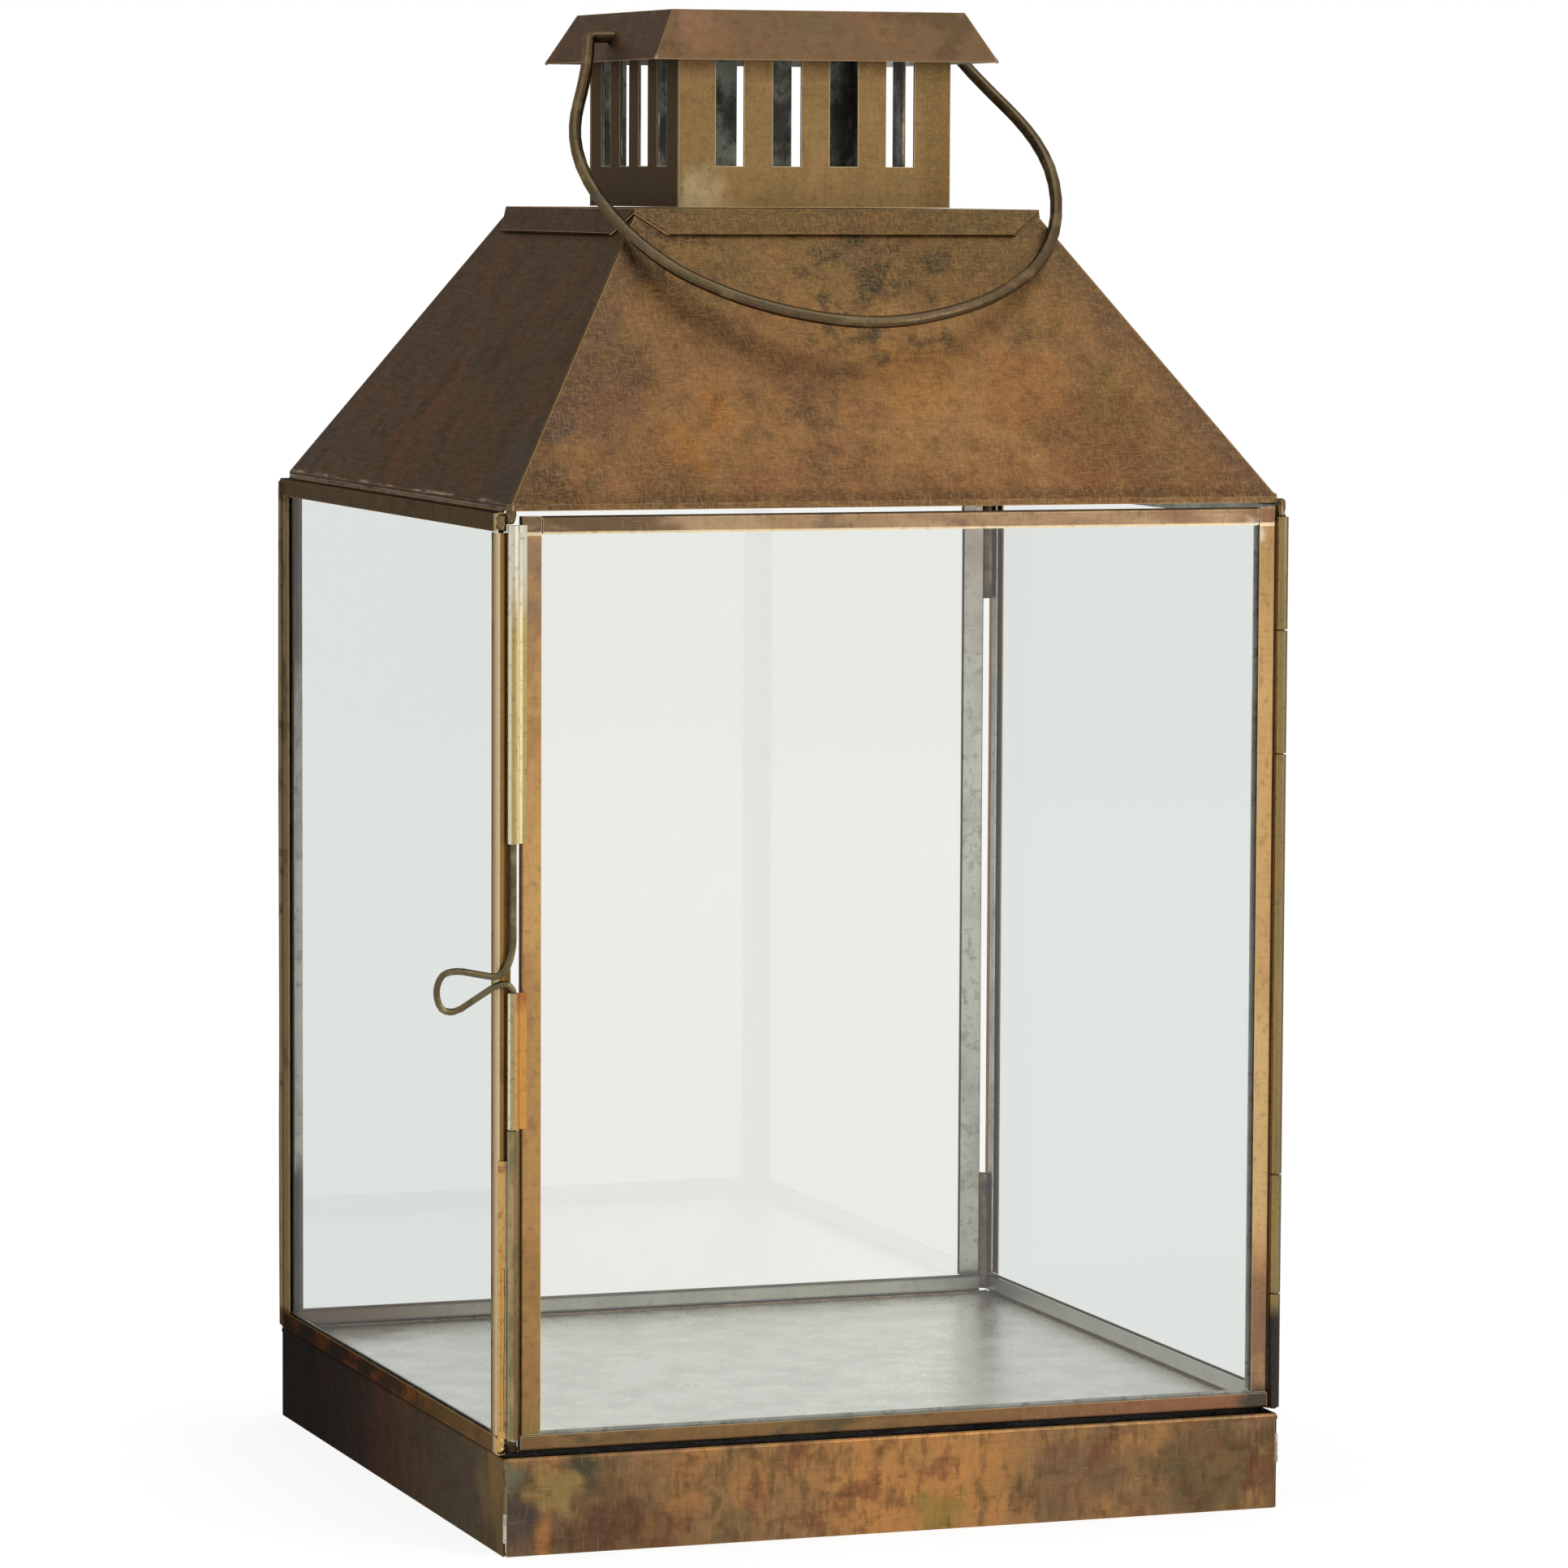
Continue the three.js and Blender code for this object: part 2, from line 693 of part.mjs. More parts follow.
// The plate on top of the roof has a square hole under the chimney, and four flaps that fold down
// over the roof panels and narrow to their lower edges.
function roofTopPlate() {
  const dropOut = PLATE_FLAP * Math.sin(roofTilt);
  const dropDown = PLATE_FLAP * Math.cos(roofTilt);
  const backOut = SHEET * Math.cos(roofTilt);
  const backDown = SHEET * Math.sin(roofTilt);
  const underside = plateTop - SHEET;
  const innerFold =
    plateHalf - SHEET / Math.cos(roofTilt) + SHEET * Math.tan(roofTilt);
  const flap = [
    [plateHalf, plateTop],
    [plateHalf - 2 * SHEET, plateTop],
    [plateHalf - 2 * SHEET, underside],
    [innerFold, underside],
    [plateHalf + dropOut - backOut, plateTop - dropDown - backDown],
    [plateHalf + dropOut, plateTop - dropDown],
  ];
  const strip = frontStrip(flap, PLATE_SIZE);
  let plate = solidOf(squareBlock(plateHalf, underside, plateTop));
  const outline = [];
  for (let turn = 0; turn < 4; turn++) {
    const angle = (turn * Math.PI) / 2;
    plate = plate.add(solidOf(strip.clone().rotateZ(angle)));
    const side = [
      [-plateHalf, -plateHalf],
      [-plateHalf + PLATE_FLAP_MITRE, -plateHalf - dropOut],
      [plateHalf - PLATE_FLAP_MITRE, -plateHalf - dropOut],
    ];
    side.forEach(([x, y]) => {
      const corner = new THREE.Vector2(x, y).rotateAround(
        new THREE.Vector2(),
        angle,
      );
      outline.push([corner.x, corner.y]);
    });
  }
  const trimmed = plate
    .intersect(solidOf(prism(outline, 0, 2 * plateTop)))
    .subtract(solidOf(squareBlock(PLATE_HOLE / 2, 0, 2 * plateTop)));
  return piece("roof_top_plate", geometryOf(trimmed), roofBrass);
}

// A chimney wall that faces -Y, with a row of upright slots.
function chimneyWall(width) {
  const outer = -CHIMNEY_SIZE / 2;
  const low = chimneyBottom + SLOT_BOTTOM;
  let wall = solidOf(
    boxBetween(
      [-width / 2, outer, chimneyBottom],
      [width / 2, outer + SHEET, chimneyBottom + chimneyHeight],
    ),
  );
  for (let slot = 0; slot < CHIMNEY_SLOTS; slot++) {
    const left =
      (slot - (CHIMNEY_SLOTS - 1) / 2) * SLOT_PITCH - SLOT_WIDTH / 2;
    const opening = boxBetween(
      [left, outer - SHEET, low],
      [left + SLOT_WIDTH, outer + 2 * SHEET, low + SLOT_HEIGHT],
    );
    wall = wall.subtract(solidOf(opening));
  }
  return geometryOf(wall);
}

function chimney() {
  const wide = chimneyWall(CHIMNEY_SIZE);
  const narrow = chimneyWall(CHIMNEY_SIZE - 2 * (SHEET + REST_GAP));
  const front = piece("chimney_front", wide, chimneyBrass);
  const back = piece("chimney_back", wide, chimneyBrass);
  back.rotation.z = Math.PI;
  const right = piece("chimney_right", narrow, chimneyBrass);
  right.rotation.z = Math.PI / 2;
  const left = piece("chimney_left", narrow, chimneyBrass);
  left.rotation.z = -Math.PI / 2;
  return [front, back, right, left];
}

function cap() {
  const capTilt = Math.atan2((CAP_SIZE - CAP_TOP_SIZE) / 2, CAP_HEIGHT);
  const across = SHEET / Math.cos(capTilt);
  const under = capTop - SHEET;
  const halfAt = (z) => CAP_SIZE / 2 - (z - capBottom) * Math.tan(capTilt);
  const below = capBottom - SHEET;
  const hollow = frustum(halfAt(below) - across, halfAt(under) - across, below, under);
  const holes = rod(CAP_HOLE_RADIUS, -CAP_SIZE, CAP_SIZE, 20)
    .rotateY(Math.PI / 2)
    .translate(0, 0, capBottom + BAIL_AXIS_ABOVE_CAP_EAVE);
  const shell = solidOf(frustum(CAP_SIZE / 2, CAP_TOP_SIZE / 2, capBottom, capTop))
    .subtract(solidOf(hollow))
    .subtract(solidOf(holes));
  return piece("cap", geometryOf(shell), capBrass);
}

// The bail in its own plane: x along the pivot axis, -y away from it. Its stubs point inwards
// through the cap, and its bow leans a little to the left.
function bail() {
  const halfLine = [
    [0, BAIL_STUB_END],
    [0, BAIL_SHOULDER - BAIL_BEND_RADIUS],
  ];
  for (let step = 1; step <= 4; step++) {
    const angle = (step * Math.PI) / 8;
    halfLine.push([
      BAIL_BEND_RADIUS * (1 - Math.cos(angle)),
      BAIL_SHOULDER - BAIL_BEND_RADIUS * (1 - Math.sin(angle)),
    ]);
  }
  halfLine.push(...BAIL_BOW);
  const at = ([out, across], side) => {
    const lean = BAIL_LEAN * (out / BAIL_REACH) ** 2;
    return new THREE.Vector3(side * across - lean, -out, 0);
  };
  const points = [
    ...halfLine.map((spot) => at(spot, -1)),
    at([BAIL_REACH, 0], 1),
    ...halfLine.map((spot) => at(spot, 1)).reverse(),
  ];
  const wire = piece(
    "bail_handle",
    bentWire(points, BAIL_WIRE_RADIUS, 2, 12),
    wireBrass,
  );
  wire.rotation.x = THREE.MathUtils.degToRad(BAIL_REST_DIP);
  wire.position.z = capBottom + BAIL_AXIS_ABOVE_CAP_EAVE;
  return wire;
}

const lantern = new THREE.Group();
lantern.position.x = PAN_FROM_ORIGIN;
lantern.add(
  basePan(),
  leftFrame(),
  rightFrame(),
  backFrame(),
  doorFrame(),
  ...latchTubes(),
  latchWire(),
  hinge(),
  roof(),
  roofTopPlate(),
  ...chimney(),
  cap(),
  bail(),
);

export default lantern;
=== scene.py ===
"""Looks of a glazed lantern: patinated brass sheet and channels, tinned inner faces, clear glass.

Metres, in the frame of the CAD part: +Z up, the door faces -Y, the surface it stands on is z = 0.
"""

import math

import bpy
from mathutils import Matrix, Vector


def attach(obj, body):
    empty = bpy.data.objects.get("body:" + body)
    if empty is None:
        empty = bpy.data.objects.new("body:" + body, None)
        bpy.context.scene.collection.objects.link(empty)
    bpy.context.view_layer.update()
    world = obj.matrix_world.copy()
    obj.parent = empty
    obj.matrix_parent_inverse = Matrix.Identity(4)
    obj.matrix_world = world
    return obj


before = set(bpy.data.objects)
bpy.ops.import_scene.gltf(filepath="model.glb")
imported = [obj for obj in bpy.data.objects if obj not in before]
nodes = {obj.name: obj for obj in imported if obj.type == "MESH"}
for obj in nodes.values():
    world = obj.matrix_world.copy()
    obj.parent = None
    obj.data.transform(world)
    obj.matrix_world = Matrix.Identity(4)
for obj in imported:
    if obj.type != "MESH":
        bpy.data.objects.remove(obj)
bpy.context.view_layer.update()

MM = 0.001
# The base pan's middle, from which the patterns' places are given, is this far right of the origin.
MIDDLE_X = 8.5 * MM


def rgb(code):
    """An sRGB hex colour as the linear RGBA that a shader socket takes."""
    channels = [int(code[i : i + 2], 16) / 255 for i in (1, 3, 5)]
    linear = [c / 12.92 if c <= 0.04045 else ((c + 0.055) / 1.055) ** 2.4 for c in channels]
    return (*linear, 1.0)


def add(tree, kind, sockets=None, **settings):
    """Adds one node. Sockets are given a value, or an output of another node to link."""
    node = tree.nodes.new("ShaderNode" + kind)
    for name, value in settings.items():
        setattr(node, name, value)
    for name, value in (sockets or {}).items():
        if isinstance(value, bpy.types.NodeSocket):
            tree.links.new(value, node.inputs[name])
        else:
            node.inputs[name].default_value = value
    return node


def new_material(name):
    material = bpy.data.materials.new(name)
    material.use_nodes = True
    material.node_tree.nodes.clear()
    return material, material.node_tree


def middle_coordinates(tree):
    """Object coordinates measured from the middle of the base pan."""
    coordinates = add(tree, "TexCoord").outputs["Object"]
    moved = add(tree, "Mapping", {"Vector": coordinates, "Location": (-MIDDLE_X, 0, 0)})
    return moved.outputs["Vector"]


def blotches(tree, place, size, low, high, stretch=(1, 1, 1), detail=4.0, offset=0.0):
    """A soft-edged noise mask with patches about size mm across, drawn out by stretch.

    It starts where the noise is low and is full where it is high; offset picks a part of the noise.
    """
    turned = add(
        tree,
        "Mapping",
        {
            "Vector": place,
            "Location": (offset, offset * 0.7, -offset),
            "Scale": tuple(1 / (size * MM * s) for s in stretch),
        },
    )
    noise = add(
        tree,
        "TexNoise",
        {"Vector": turned.outputs["Vector"], "Scale": 1.0, "Detail": detail, "Roughness": 0.6},
    )
    mask = add(
        tree,
        "MapRange",
        {"Value": noise.outputs["Fac"], "From Min": low, "From Max": high},
        interpolation_type="SMOOTHSTEP",
    )
    return mask.outputs["Result"]


def ramp(tree, value, start, end):
    """A mask that grows from 0 where value is start mm to 1 where it is end mm."""
    mask = add(
        tree,
        "MapRange",
        {"Value": value, "From Min": start * MM, "From Max": end * MM},
        interpolation_type="SMOOTHSTEP",
    )
    return mask.outputs["Result"]


def along(tree, place, axis, start, end):
    """A mask that grows from 0 where the place's X, Y or Z is start mm to 1 where it is end mm."""
    return ramp(tree, add(tree, "SeparateXYZ", {"Vector": place}).outputs[axis], start, end)


def both(tree, *masks):
    """Where all the masks hold."""
    result = masks[0]
    for mask in masks[1:]:
        result = add(tree, "Math", {0: result, 1: mask}, operation="MULTIPLY").outputs[0]
    return result


def either(tree, *masks):
    """Where any of the masks holds."""
    result = masks[0]
    for mask in masks[1:]:
        result = add(tree, "Math", {0: result, 1: mask}, operation="MAXIMUM").outputs[0]
    return result


def spread(tree, place, axis):
    """The distance from the middle plane across X or Y."""
    part = add(tree, "SeparateXYZ", {"Vector": place}).outputs[axis]
    return add(tree, "Math", {0: part}, operation="ABSOLUTE").outputs[0]


def plan_distance(tree, place, lean=0.0):
    """The larger of |x| and |y|, plus lean for each unit of height: even over a sloping wall."""
    larger = either(tree, spread(tree, place, "X"), spread(tree, place, "Y"))
    height = add(tree, "SeparateXYZ", {"Vector": place}).outputs["Z"]
    leaned = add(tree, "Math", {0: height, 1: lean, 2: larger}, operation="MULTIPLY_ADD")
    return leaned.outputs[0]


# How far the rounded normal leans off the flat one, as a cosine, where wear starts and is full.
WEAR_START = 0.985
WEAR_FULL = 0.8


def worn_edges(tree, width):
    """A mask on the last width mm of a sheet beside its folds and cut edges."""
    rounded = add(tree, "Bevel", {"Radius": width * MM}, samples=4).outputs["Normal"]
    flat = add(tree, "NewGeometry").outputs["Normal"]
    match = add(tree, "VectorMath", {0: rounded, 1: flat}, operation="DOT_PRODUCT")
    mask = add(
        tree,
        "MapRange",
        {"Value": match.outputs["Value"], "From Min": WEAR_START, "From Max": WEAR_FULL},
    )
    return mask.outputs["Result"]


# Numbers of the sockets that a Mix node uses for colours, whose names it repeats for other kinds.
MIX_FIRST = 6
MIX_SECOND = 7
MIX_RESULT = 2


def blend(tree, share, first, second):
    """The first colour where share is 0 and the second where it is 1."""
    mix = add(tree, "Mix", {0: share, MIX_FIRST: first, MIX_SECOND: second}, data_type="RGBA")
    return mix.outputs[MIX_RESULT]


def layered(tree, ground, layers):
    """Colour: the ground with each (hex colour, mask, strength) laid over it in turn."""
    colour = rgb(ground)
    for code, mask, strength in layers:
        share = add(tree, "Math", {0: mask, 1: strength}, operation="MULTIPLY").outputs[0]
        colour = blend(tree, share, colour, rgb(code))
    return colour


RELIEF_DEPTH = 0.1 * MM


def finish_metal(tree, colour, tint, metallic, roughness, grain, bump):
    """Joins the colour to a metal surface whose gloss and relief follow the grain mask."""
    gloss = add(
        tree,
        "MapRange",
        {"Value": grain, "To Min": roughness[0], "To Max": roughness[1]},
    )
    relief = add(tree, "Bump", {"Height": grain, "Strength": bump, "Distance": RELIEF_DEPTH})
    surface = add(
        tree,
        "BsdfPrincipled",
        {
            "Base Color": colour,
            "Metallic": metallic,
            "Roughness": gloss.outputs["Result"],
            "Specular Tint": tint,
            "Normal": relief.outputs["Normal"],
        },
    )
    add(tree, "OutputMaterial", {"Surface": surface.outputs["BSDF"]})


# A spot's outline wanders in waves this long, by noise that strays about a quarter from its mean.
WANDER_SIZE = 9 * MM
WANDER_GAIN = 4
# The share of a spot's radius inside which it is at full strength.
SPOT_CORE = 0.35


def near(tree, place, centre, radius, ragged=0.0):
    """A soft spot round a point, both in mm; ragged is how far, in mm, its outline wanders."""
    if ragged:
        wander = add(tree, "TexNoise", {"Vector": place, "Scale": 1 / WANDER_SIZE, "Detail": 3.0})
        centred = add(tree, "VectorMath", {0: wander.outputs["Color"], 1: (0.5, 0.5, 0.5)},
                      operation="SUBTRACT").outputs[0]
        shifted = add(tree, "VectorMath", {0: centred, "Scale": WANDER_GAIN * ragged * MM},
                      operation="SCALE").outputs[0]
        place = add(tree, "VectorMath", {0: place, 1: shifted}, operation="ADD").outputs[0]
    point = tuple(c * MM for c in centre)
    away = add(tree, "VectorMath", {0: place, 1: point}, operation="DISTANCE").outputs["Value"]
    return ramp(tree, away, radius, radius * SPOT_CORE)


# A level direction across the lantern, turned 19.5 degrees off its front. Measured along it, a tube
# has its painted highlights, painted shade and coloured bands at set places.
SLANT = (0.943, -0.333, 0.0)


def aslant(tree, place):
    """The distance along the slant, which is from left to right."""
    slant = add(tree, "VectorMath", {0: place, 1: SLANT}, operation="DOT_PRODUCT")
    return slant.outputs["Value"]


def hatching(tree, place, size=0.9, low=0.5, high=0.72, offset=0.0, length=9, lean=1):
    """Marks of the abrasive cloth that the sheet was rubbed with, across it and up it.

    Real ones are about 0.1 mm wide. They are drawn 0.45 to 0.9 mm wide, as coarse as they have to
    be to show.
    """
    level = blotches(tree, place, size, low, high, (length, length, 1), detail=3.0, offset=offset)
    upright = blotches(tree, place, size, low, high, (1, lean, length), detail=3.0,
                       offset=offset + 4)
    return either(tree, level, upright)


# Tinned sheet: the brass is bought tin-washed on the side that faces in. The eye sees a dull pale
# grey with soft clouds and fine crazed veins.
TIN_PALE = "#ABAAA0"
TIN_MID = "#8E8C81"
TIN_DARK = "#625E54"
# Tints of the rim that a metal shows at a low angle: patina dims it, painted shade hides it, and
# tin and rubbed brass keep it.
PATINA_TINT = (0.5, 0.46, 0.42, 1.0)
RUBBED_TINT = (0.95, 0.93, 0.88, 1.0)
SHADED_RIM_TINT = (0.1, 0.09, 0.08, 1.0)
TIN_TINT = (0.86, 0.86, 0.84, 1.0)


def tin_layers(tree, place, worn):
    """Layers of the tinned face; worn is how strongly its clouds and veins show, from 0 to 1."""
    clouds = blotches(tree, place, 14, 0.38, 0.62, offset=3.1)
    crazing = blotches(tree, place, 2.2, 0.52, 0.66, detail=8.0, offset=5.7)
    return [(TIN_MID, clouds, worn), (TIN_DARK, crazing, worn * worn)]


# Oxide on the brass takes a little of its metal's gloss.
METALLIC = 0.95


def brass(name, ground, patches, roughness=(0.34, 0.52), edge=None, inside=None,
          tin_ground=TIN_PALE, worn=0.85, bump=0.15, tint=PATINA_TINT, shaded_rim=None,
          stains=None, dull_tin=0.0):
    """Aged brass. The functions give masks and layers of them for the place on the sheet.

    patches: the layers of the patina, with painted highlights and shade among them; inside: where
    the face is tinned; stains: layers on the tin, some of them painted shadow; the rim mask: where
    the low rim is hidden, as painted shade. edge is the colour of worn edges and their width in mm,
    worn is how strongly the tin's clouds show, and dull_tin how much less metallic its oxide is.
    """
    material, tree = new_material(name)
    place = middle_coordinates(tree)
    metallic = METALLIC
    grain = hatching(tree, place, offset=9.0, low=0.35, high=0.7)
    colour = layered(tree, ground, patches(tree, place))
    if edge:
        colour = blend(tree, worn_edges(tree, edge[1]), colour, rgb(edge[0]))
    if shaded_rim:
        tint = blend(tree, shaded_rim(tree, place), tint, SHADED_RIM_TINT)
    if inside:
        tin_side = inside(tree, place)
        spots = stains(tree, place) if stains else []
        tin = layered(tree, tin_ground, tin_layers(tree, place, worn) + spots)
        colour = blend(tree, tin_side, colour, tin)
        tint = blend(tree, tin_side, tint, TIN_TINT)
        if dull_tin:
            oxide = add(tree, "MapRange",
                        {"Value": tin_side, "To Min": METALLIC, "To Max": METALLIC - dull_tin})
            metallic = oxide.outputs["Result"]
    finish_metal(tree, colour, tint, metallic, roughness, grain, bump)
    return material


# Heights in mm, just under the level top faces of the roof and of the cap.
ROOF_TOP = 351.7
CAP_TOP = 405.2


def left_side(tree, place, top):
    """The walls facing -X, up to a level top face: partly darker patina, partly painted shade."""
    right = add(tree, "SeparateXYZ", {"Vector": place}).outputs["X"]
    behind = add(tree, "Math", {0: right, 1: spread(tree, place, "Y")}, operation="ADD").outputs[0]
    return both(tree, ramp(tree, behind, 0.6, -0.6), along(tree, place, "Z", top, top - 0.2))


# Middle of the arc that the hanging bail follows in front view.
BAIL_MIDDLE = (2.5 * MM, 0, 386.5 * MM)


def bail_shadow_and_stain(tree, place):
    """A band on the roof's front under the hanging bail: its painted shadow, and some patina."""
    flat = add(tree, "VectorMath", {0: place, 1: (1, 0, 1)}, operation="MULTIPLY").outputs[0]
    away = add(tree, "VectorMath", {0: flat, 1: BAIL_MIDDLE}, operation="DISTANCE").outputs["Value"]
    return both(tree, ramp(tree, away, 73, 77), ramp(tree, away, 85, 78))


# Roof: rolled brass, browned with a patina brushed on warm. The eye sees orange brown with a linen
# of rubbed marks, violet-brown clouds, green-black stains near the top and a red-brown eave.
def roof_patches(tree, place):
    left = left_side(tree, place, ROOF_TOP)
    front = along(tree, place, "Y", -40, -50)
    low = along(tree, place, "Z", 296, 277)
    high = along(tree, place, "Z", 312, 342)
    off_hip = add(tree, "Math", {0: spread(tree, place, "X"), 1: spread(tree, place, "Y")},
                  operation="SUBTRACT").outputs[0]
    off_hip = add(tree, "Math", {0: off_hip}, operation="ABSOLUTE").outputs[0]
    hips = ramp(tree, off_hip, 16, 1)
    stains = blotches(tree, place, 7, 0.5, 0.58, detail=5.0, offset=8.8)
    return [
        ("#A2754A", blotches(tree, place, 30, 0.42, 0.6, offset=1.0), 0.7),
        ("#64503A", blotches(tree, place, 20, 0.5, 0.62, offset=2.3), 0.75),
        ("#8F6248", blotches(tree, place, 13, 0.52, 0.64, offset=5.3), 0.5),
        ("#B98A55", both(tree, front, near(tree, place, (26, -88, 304), 40, 14)), 0.5),
        ("#9C6138", both(tree, front, near(tree, place, (39, -88, 303), 19, 9)), 0.45),
        ("#A6743C", both(tree, front, near(tree, place, (12, -85, 309), 18, 8)), 0.5),
        ("#A67A4A", both(tree, front, near(tree, place, (-45, -98, 291), 26, 9)), 0.5),
        ("#68482F", both(tree, front, near(tree, place, (60, -97, 291), 24, 8)), 0.6),
        ("#5E4642", both(tree, front, near(tree, place, (-80, -89, 304), 20, 9)), 0.5),
        ("#4E4A49", both(tree, front, near(tree, place, (-91, -94, 296), 9, 4)), 0.6),
        ("#524B48", both(tree, front, near(tree, place, (-73, -78, 320), 8, 4)), 0.5),
        ("#A5672C", both(tree, front, near(tree, place, (-47, -92, 299), 9, 4)), 0.45),
        ("#A9722F", both(tree, front, near(tree, place, (-58, -100, 286), 11, 5)), 0.5),
        ("#83683A", blotches(tree, place, 20, 0.54, 0.68, offset=7.1), 0.5),
        ("#7A4A34", both(tree, low, blotches(tree, place, 16, 0.36, 0.62, offset=7.7)), 0.45),
        ("#5C4630", both(tree, front, near(tree, place, (27, -62, 338), 26, 8)), 0.55),
        ("#453A2E", both(tree, front, near(tree, place, (-96, -106, 277), 14, 6)), 0.7),
        ("#5A4836", both(tree, front, near(tree, place, (-62, -107, 276), 15, 6)), 0.5),
        ("#6A5238", both(tree, front, along(tree, place, "Z", 343.6, 344.4)), 0.55),
        ("#6A5C3B", both(tree, high, blotches(tree, place, 22, 0.3, 0.56, offset=4.2)), 0.6),
        # Painted shadow of the bail, with some darker patina.
        ("#4A3526", both(tree, front, bail_shadow_and_stain(tree, place),
                         along(tree, place, "X", 15, -45)), 0.6),
        ("#3F3E30", both(tree, stains, near(tree, place, (4, -70, 326), 34, 6)), 0.85),
        ("#3C3C31", near(tree, place, (24, -64, 336), 6.5, 3), 0.85),
        ("#413D2F", both(tree, stains, near(tree, place, (-52, -62, 339), 18, 5)), 0.8),
        ("#5A4B3E", hips, 0.6),
        ("#5A4630", both(tree, front, along(tree, place, "Z", 279.5, 276.5)), 0.6),
        ("#4A3524", blotches(tree, place, 5, 0.46, 0.66, detail=7.0, offset=3.9), 0.3),
        ("#453222", hatching(tree, place, 0.5, 0.44, 0.66, offset=6.0, length=5, lean=5), 0.32),
        ("#BD915C", hatching(tree, place, 0.45, 0.48, 0.68, offset=2.0, length=5, lean=5), 0.3),
        # The left side, darker partly by patina and partly by painted shade.
        ("#3D3027", left, 0.93),
        ("#573B2B", both(tree, left,
                         blotches(tree, place, 8, 0.5, 0.66, (3, 1, 4), offset=3.3)), 0.55),
        ("#5C3A2C", both(tree, left, near(tree, place, (-97, 10, 293), 26, 9)), 0.4),
        ("#37393B", both(tree, left, near(tree, place, (-104, -96, 283), 24, 9)), 0.5),
        ("#37393B", both(tree, left, near(tree, place, (-104, 100, 281), 26, 9)), 0.5),
        ("#624B38", both(tree, left,
                         hatching(tree, place, 0.7, 0.54, 0.7, offset=4.4, length=7)), 0.35),
        ("#3A3029", both(tree, left, along(tree, place, "Z", 343.6, 344.4)), 0.5),
        ("#33291F", both(tree, left, blotches(tree, place, 17, 0.5, 0.68, offset=6.3)), 0.55),
        # A painted highlight along the fold of the left eave, broken up.
        ("#A39382", both(tree, left, along(tree, place, "Z", 276.4, 275.6),
                         blotches(tree, place, 1.1, 0.5, 0.62, (9, 9, 1), offset=2.6)), 0.75),
        ("#453A33", both(tree, left, along(tree, place, "Z", 275.5, 275.3)), 0.8),
        ("#94867A", both(tree, left, along(tree, place, "Z", 274.7, 274.5),
                         blotches(tree, place, 2, 0.3, 0.5, (9, 9, 1), offset=5.6)), 0.8),
    ]


def pan_ledge(tree, place):
    return along(tree, place, "Z", 25.95, 26.15)


def pan_shaded_rim(tree, place):
    """Painted shade: the low rim is dimmed on the ledge under the door and the left skirt's back.
    """
    left = along(tree, place, "X", -108.6, -109.4)
    deep = along(tree, place, "Y", -80, 170)
    return either(tree, pan_ledge(tree, place), both(tree, left, deep))
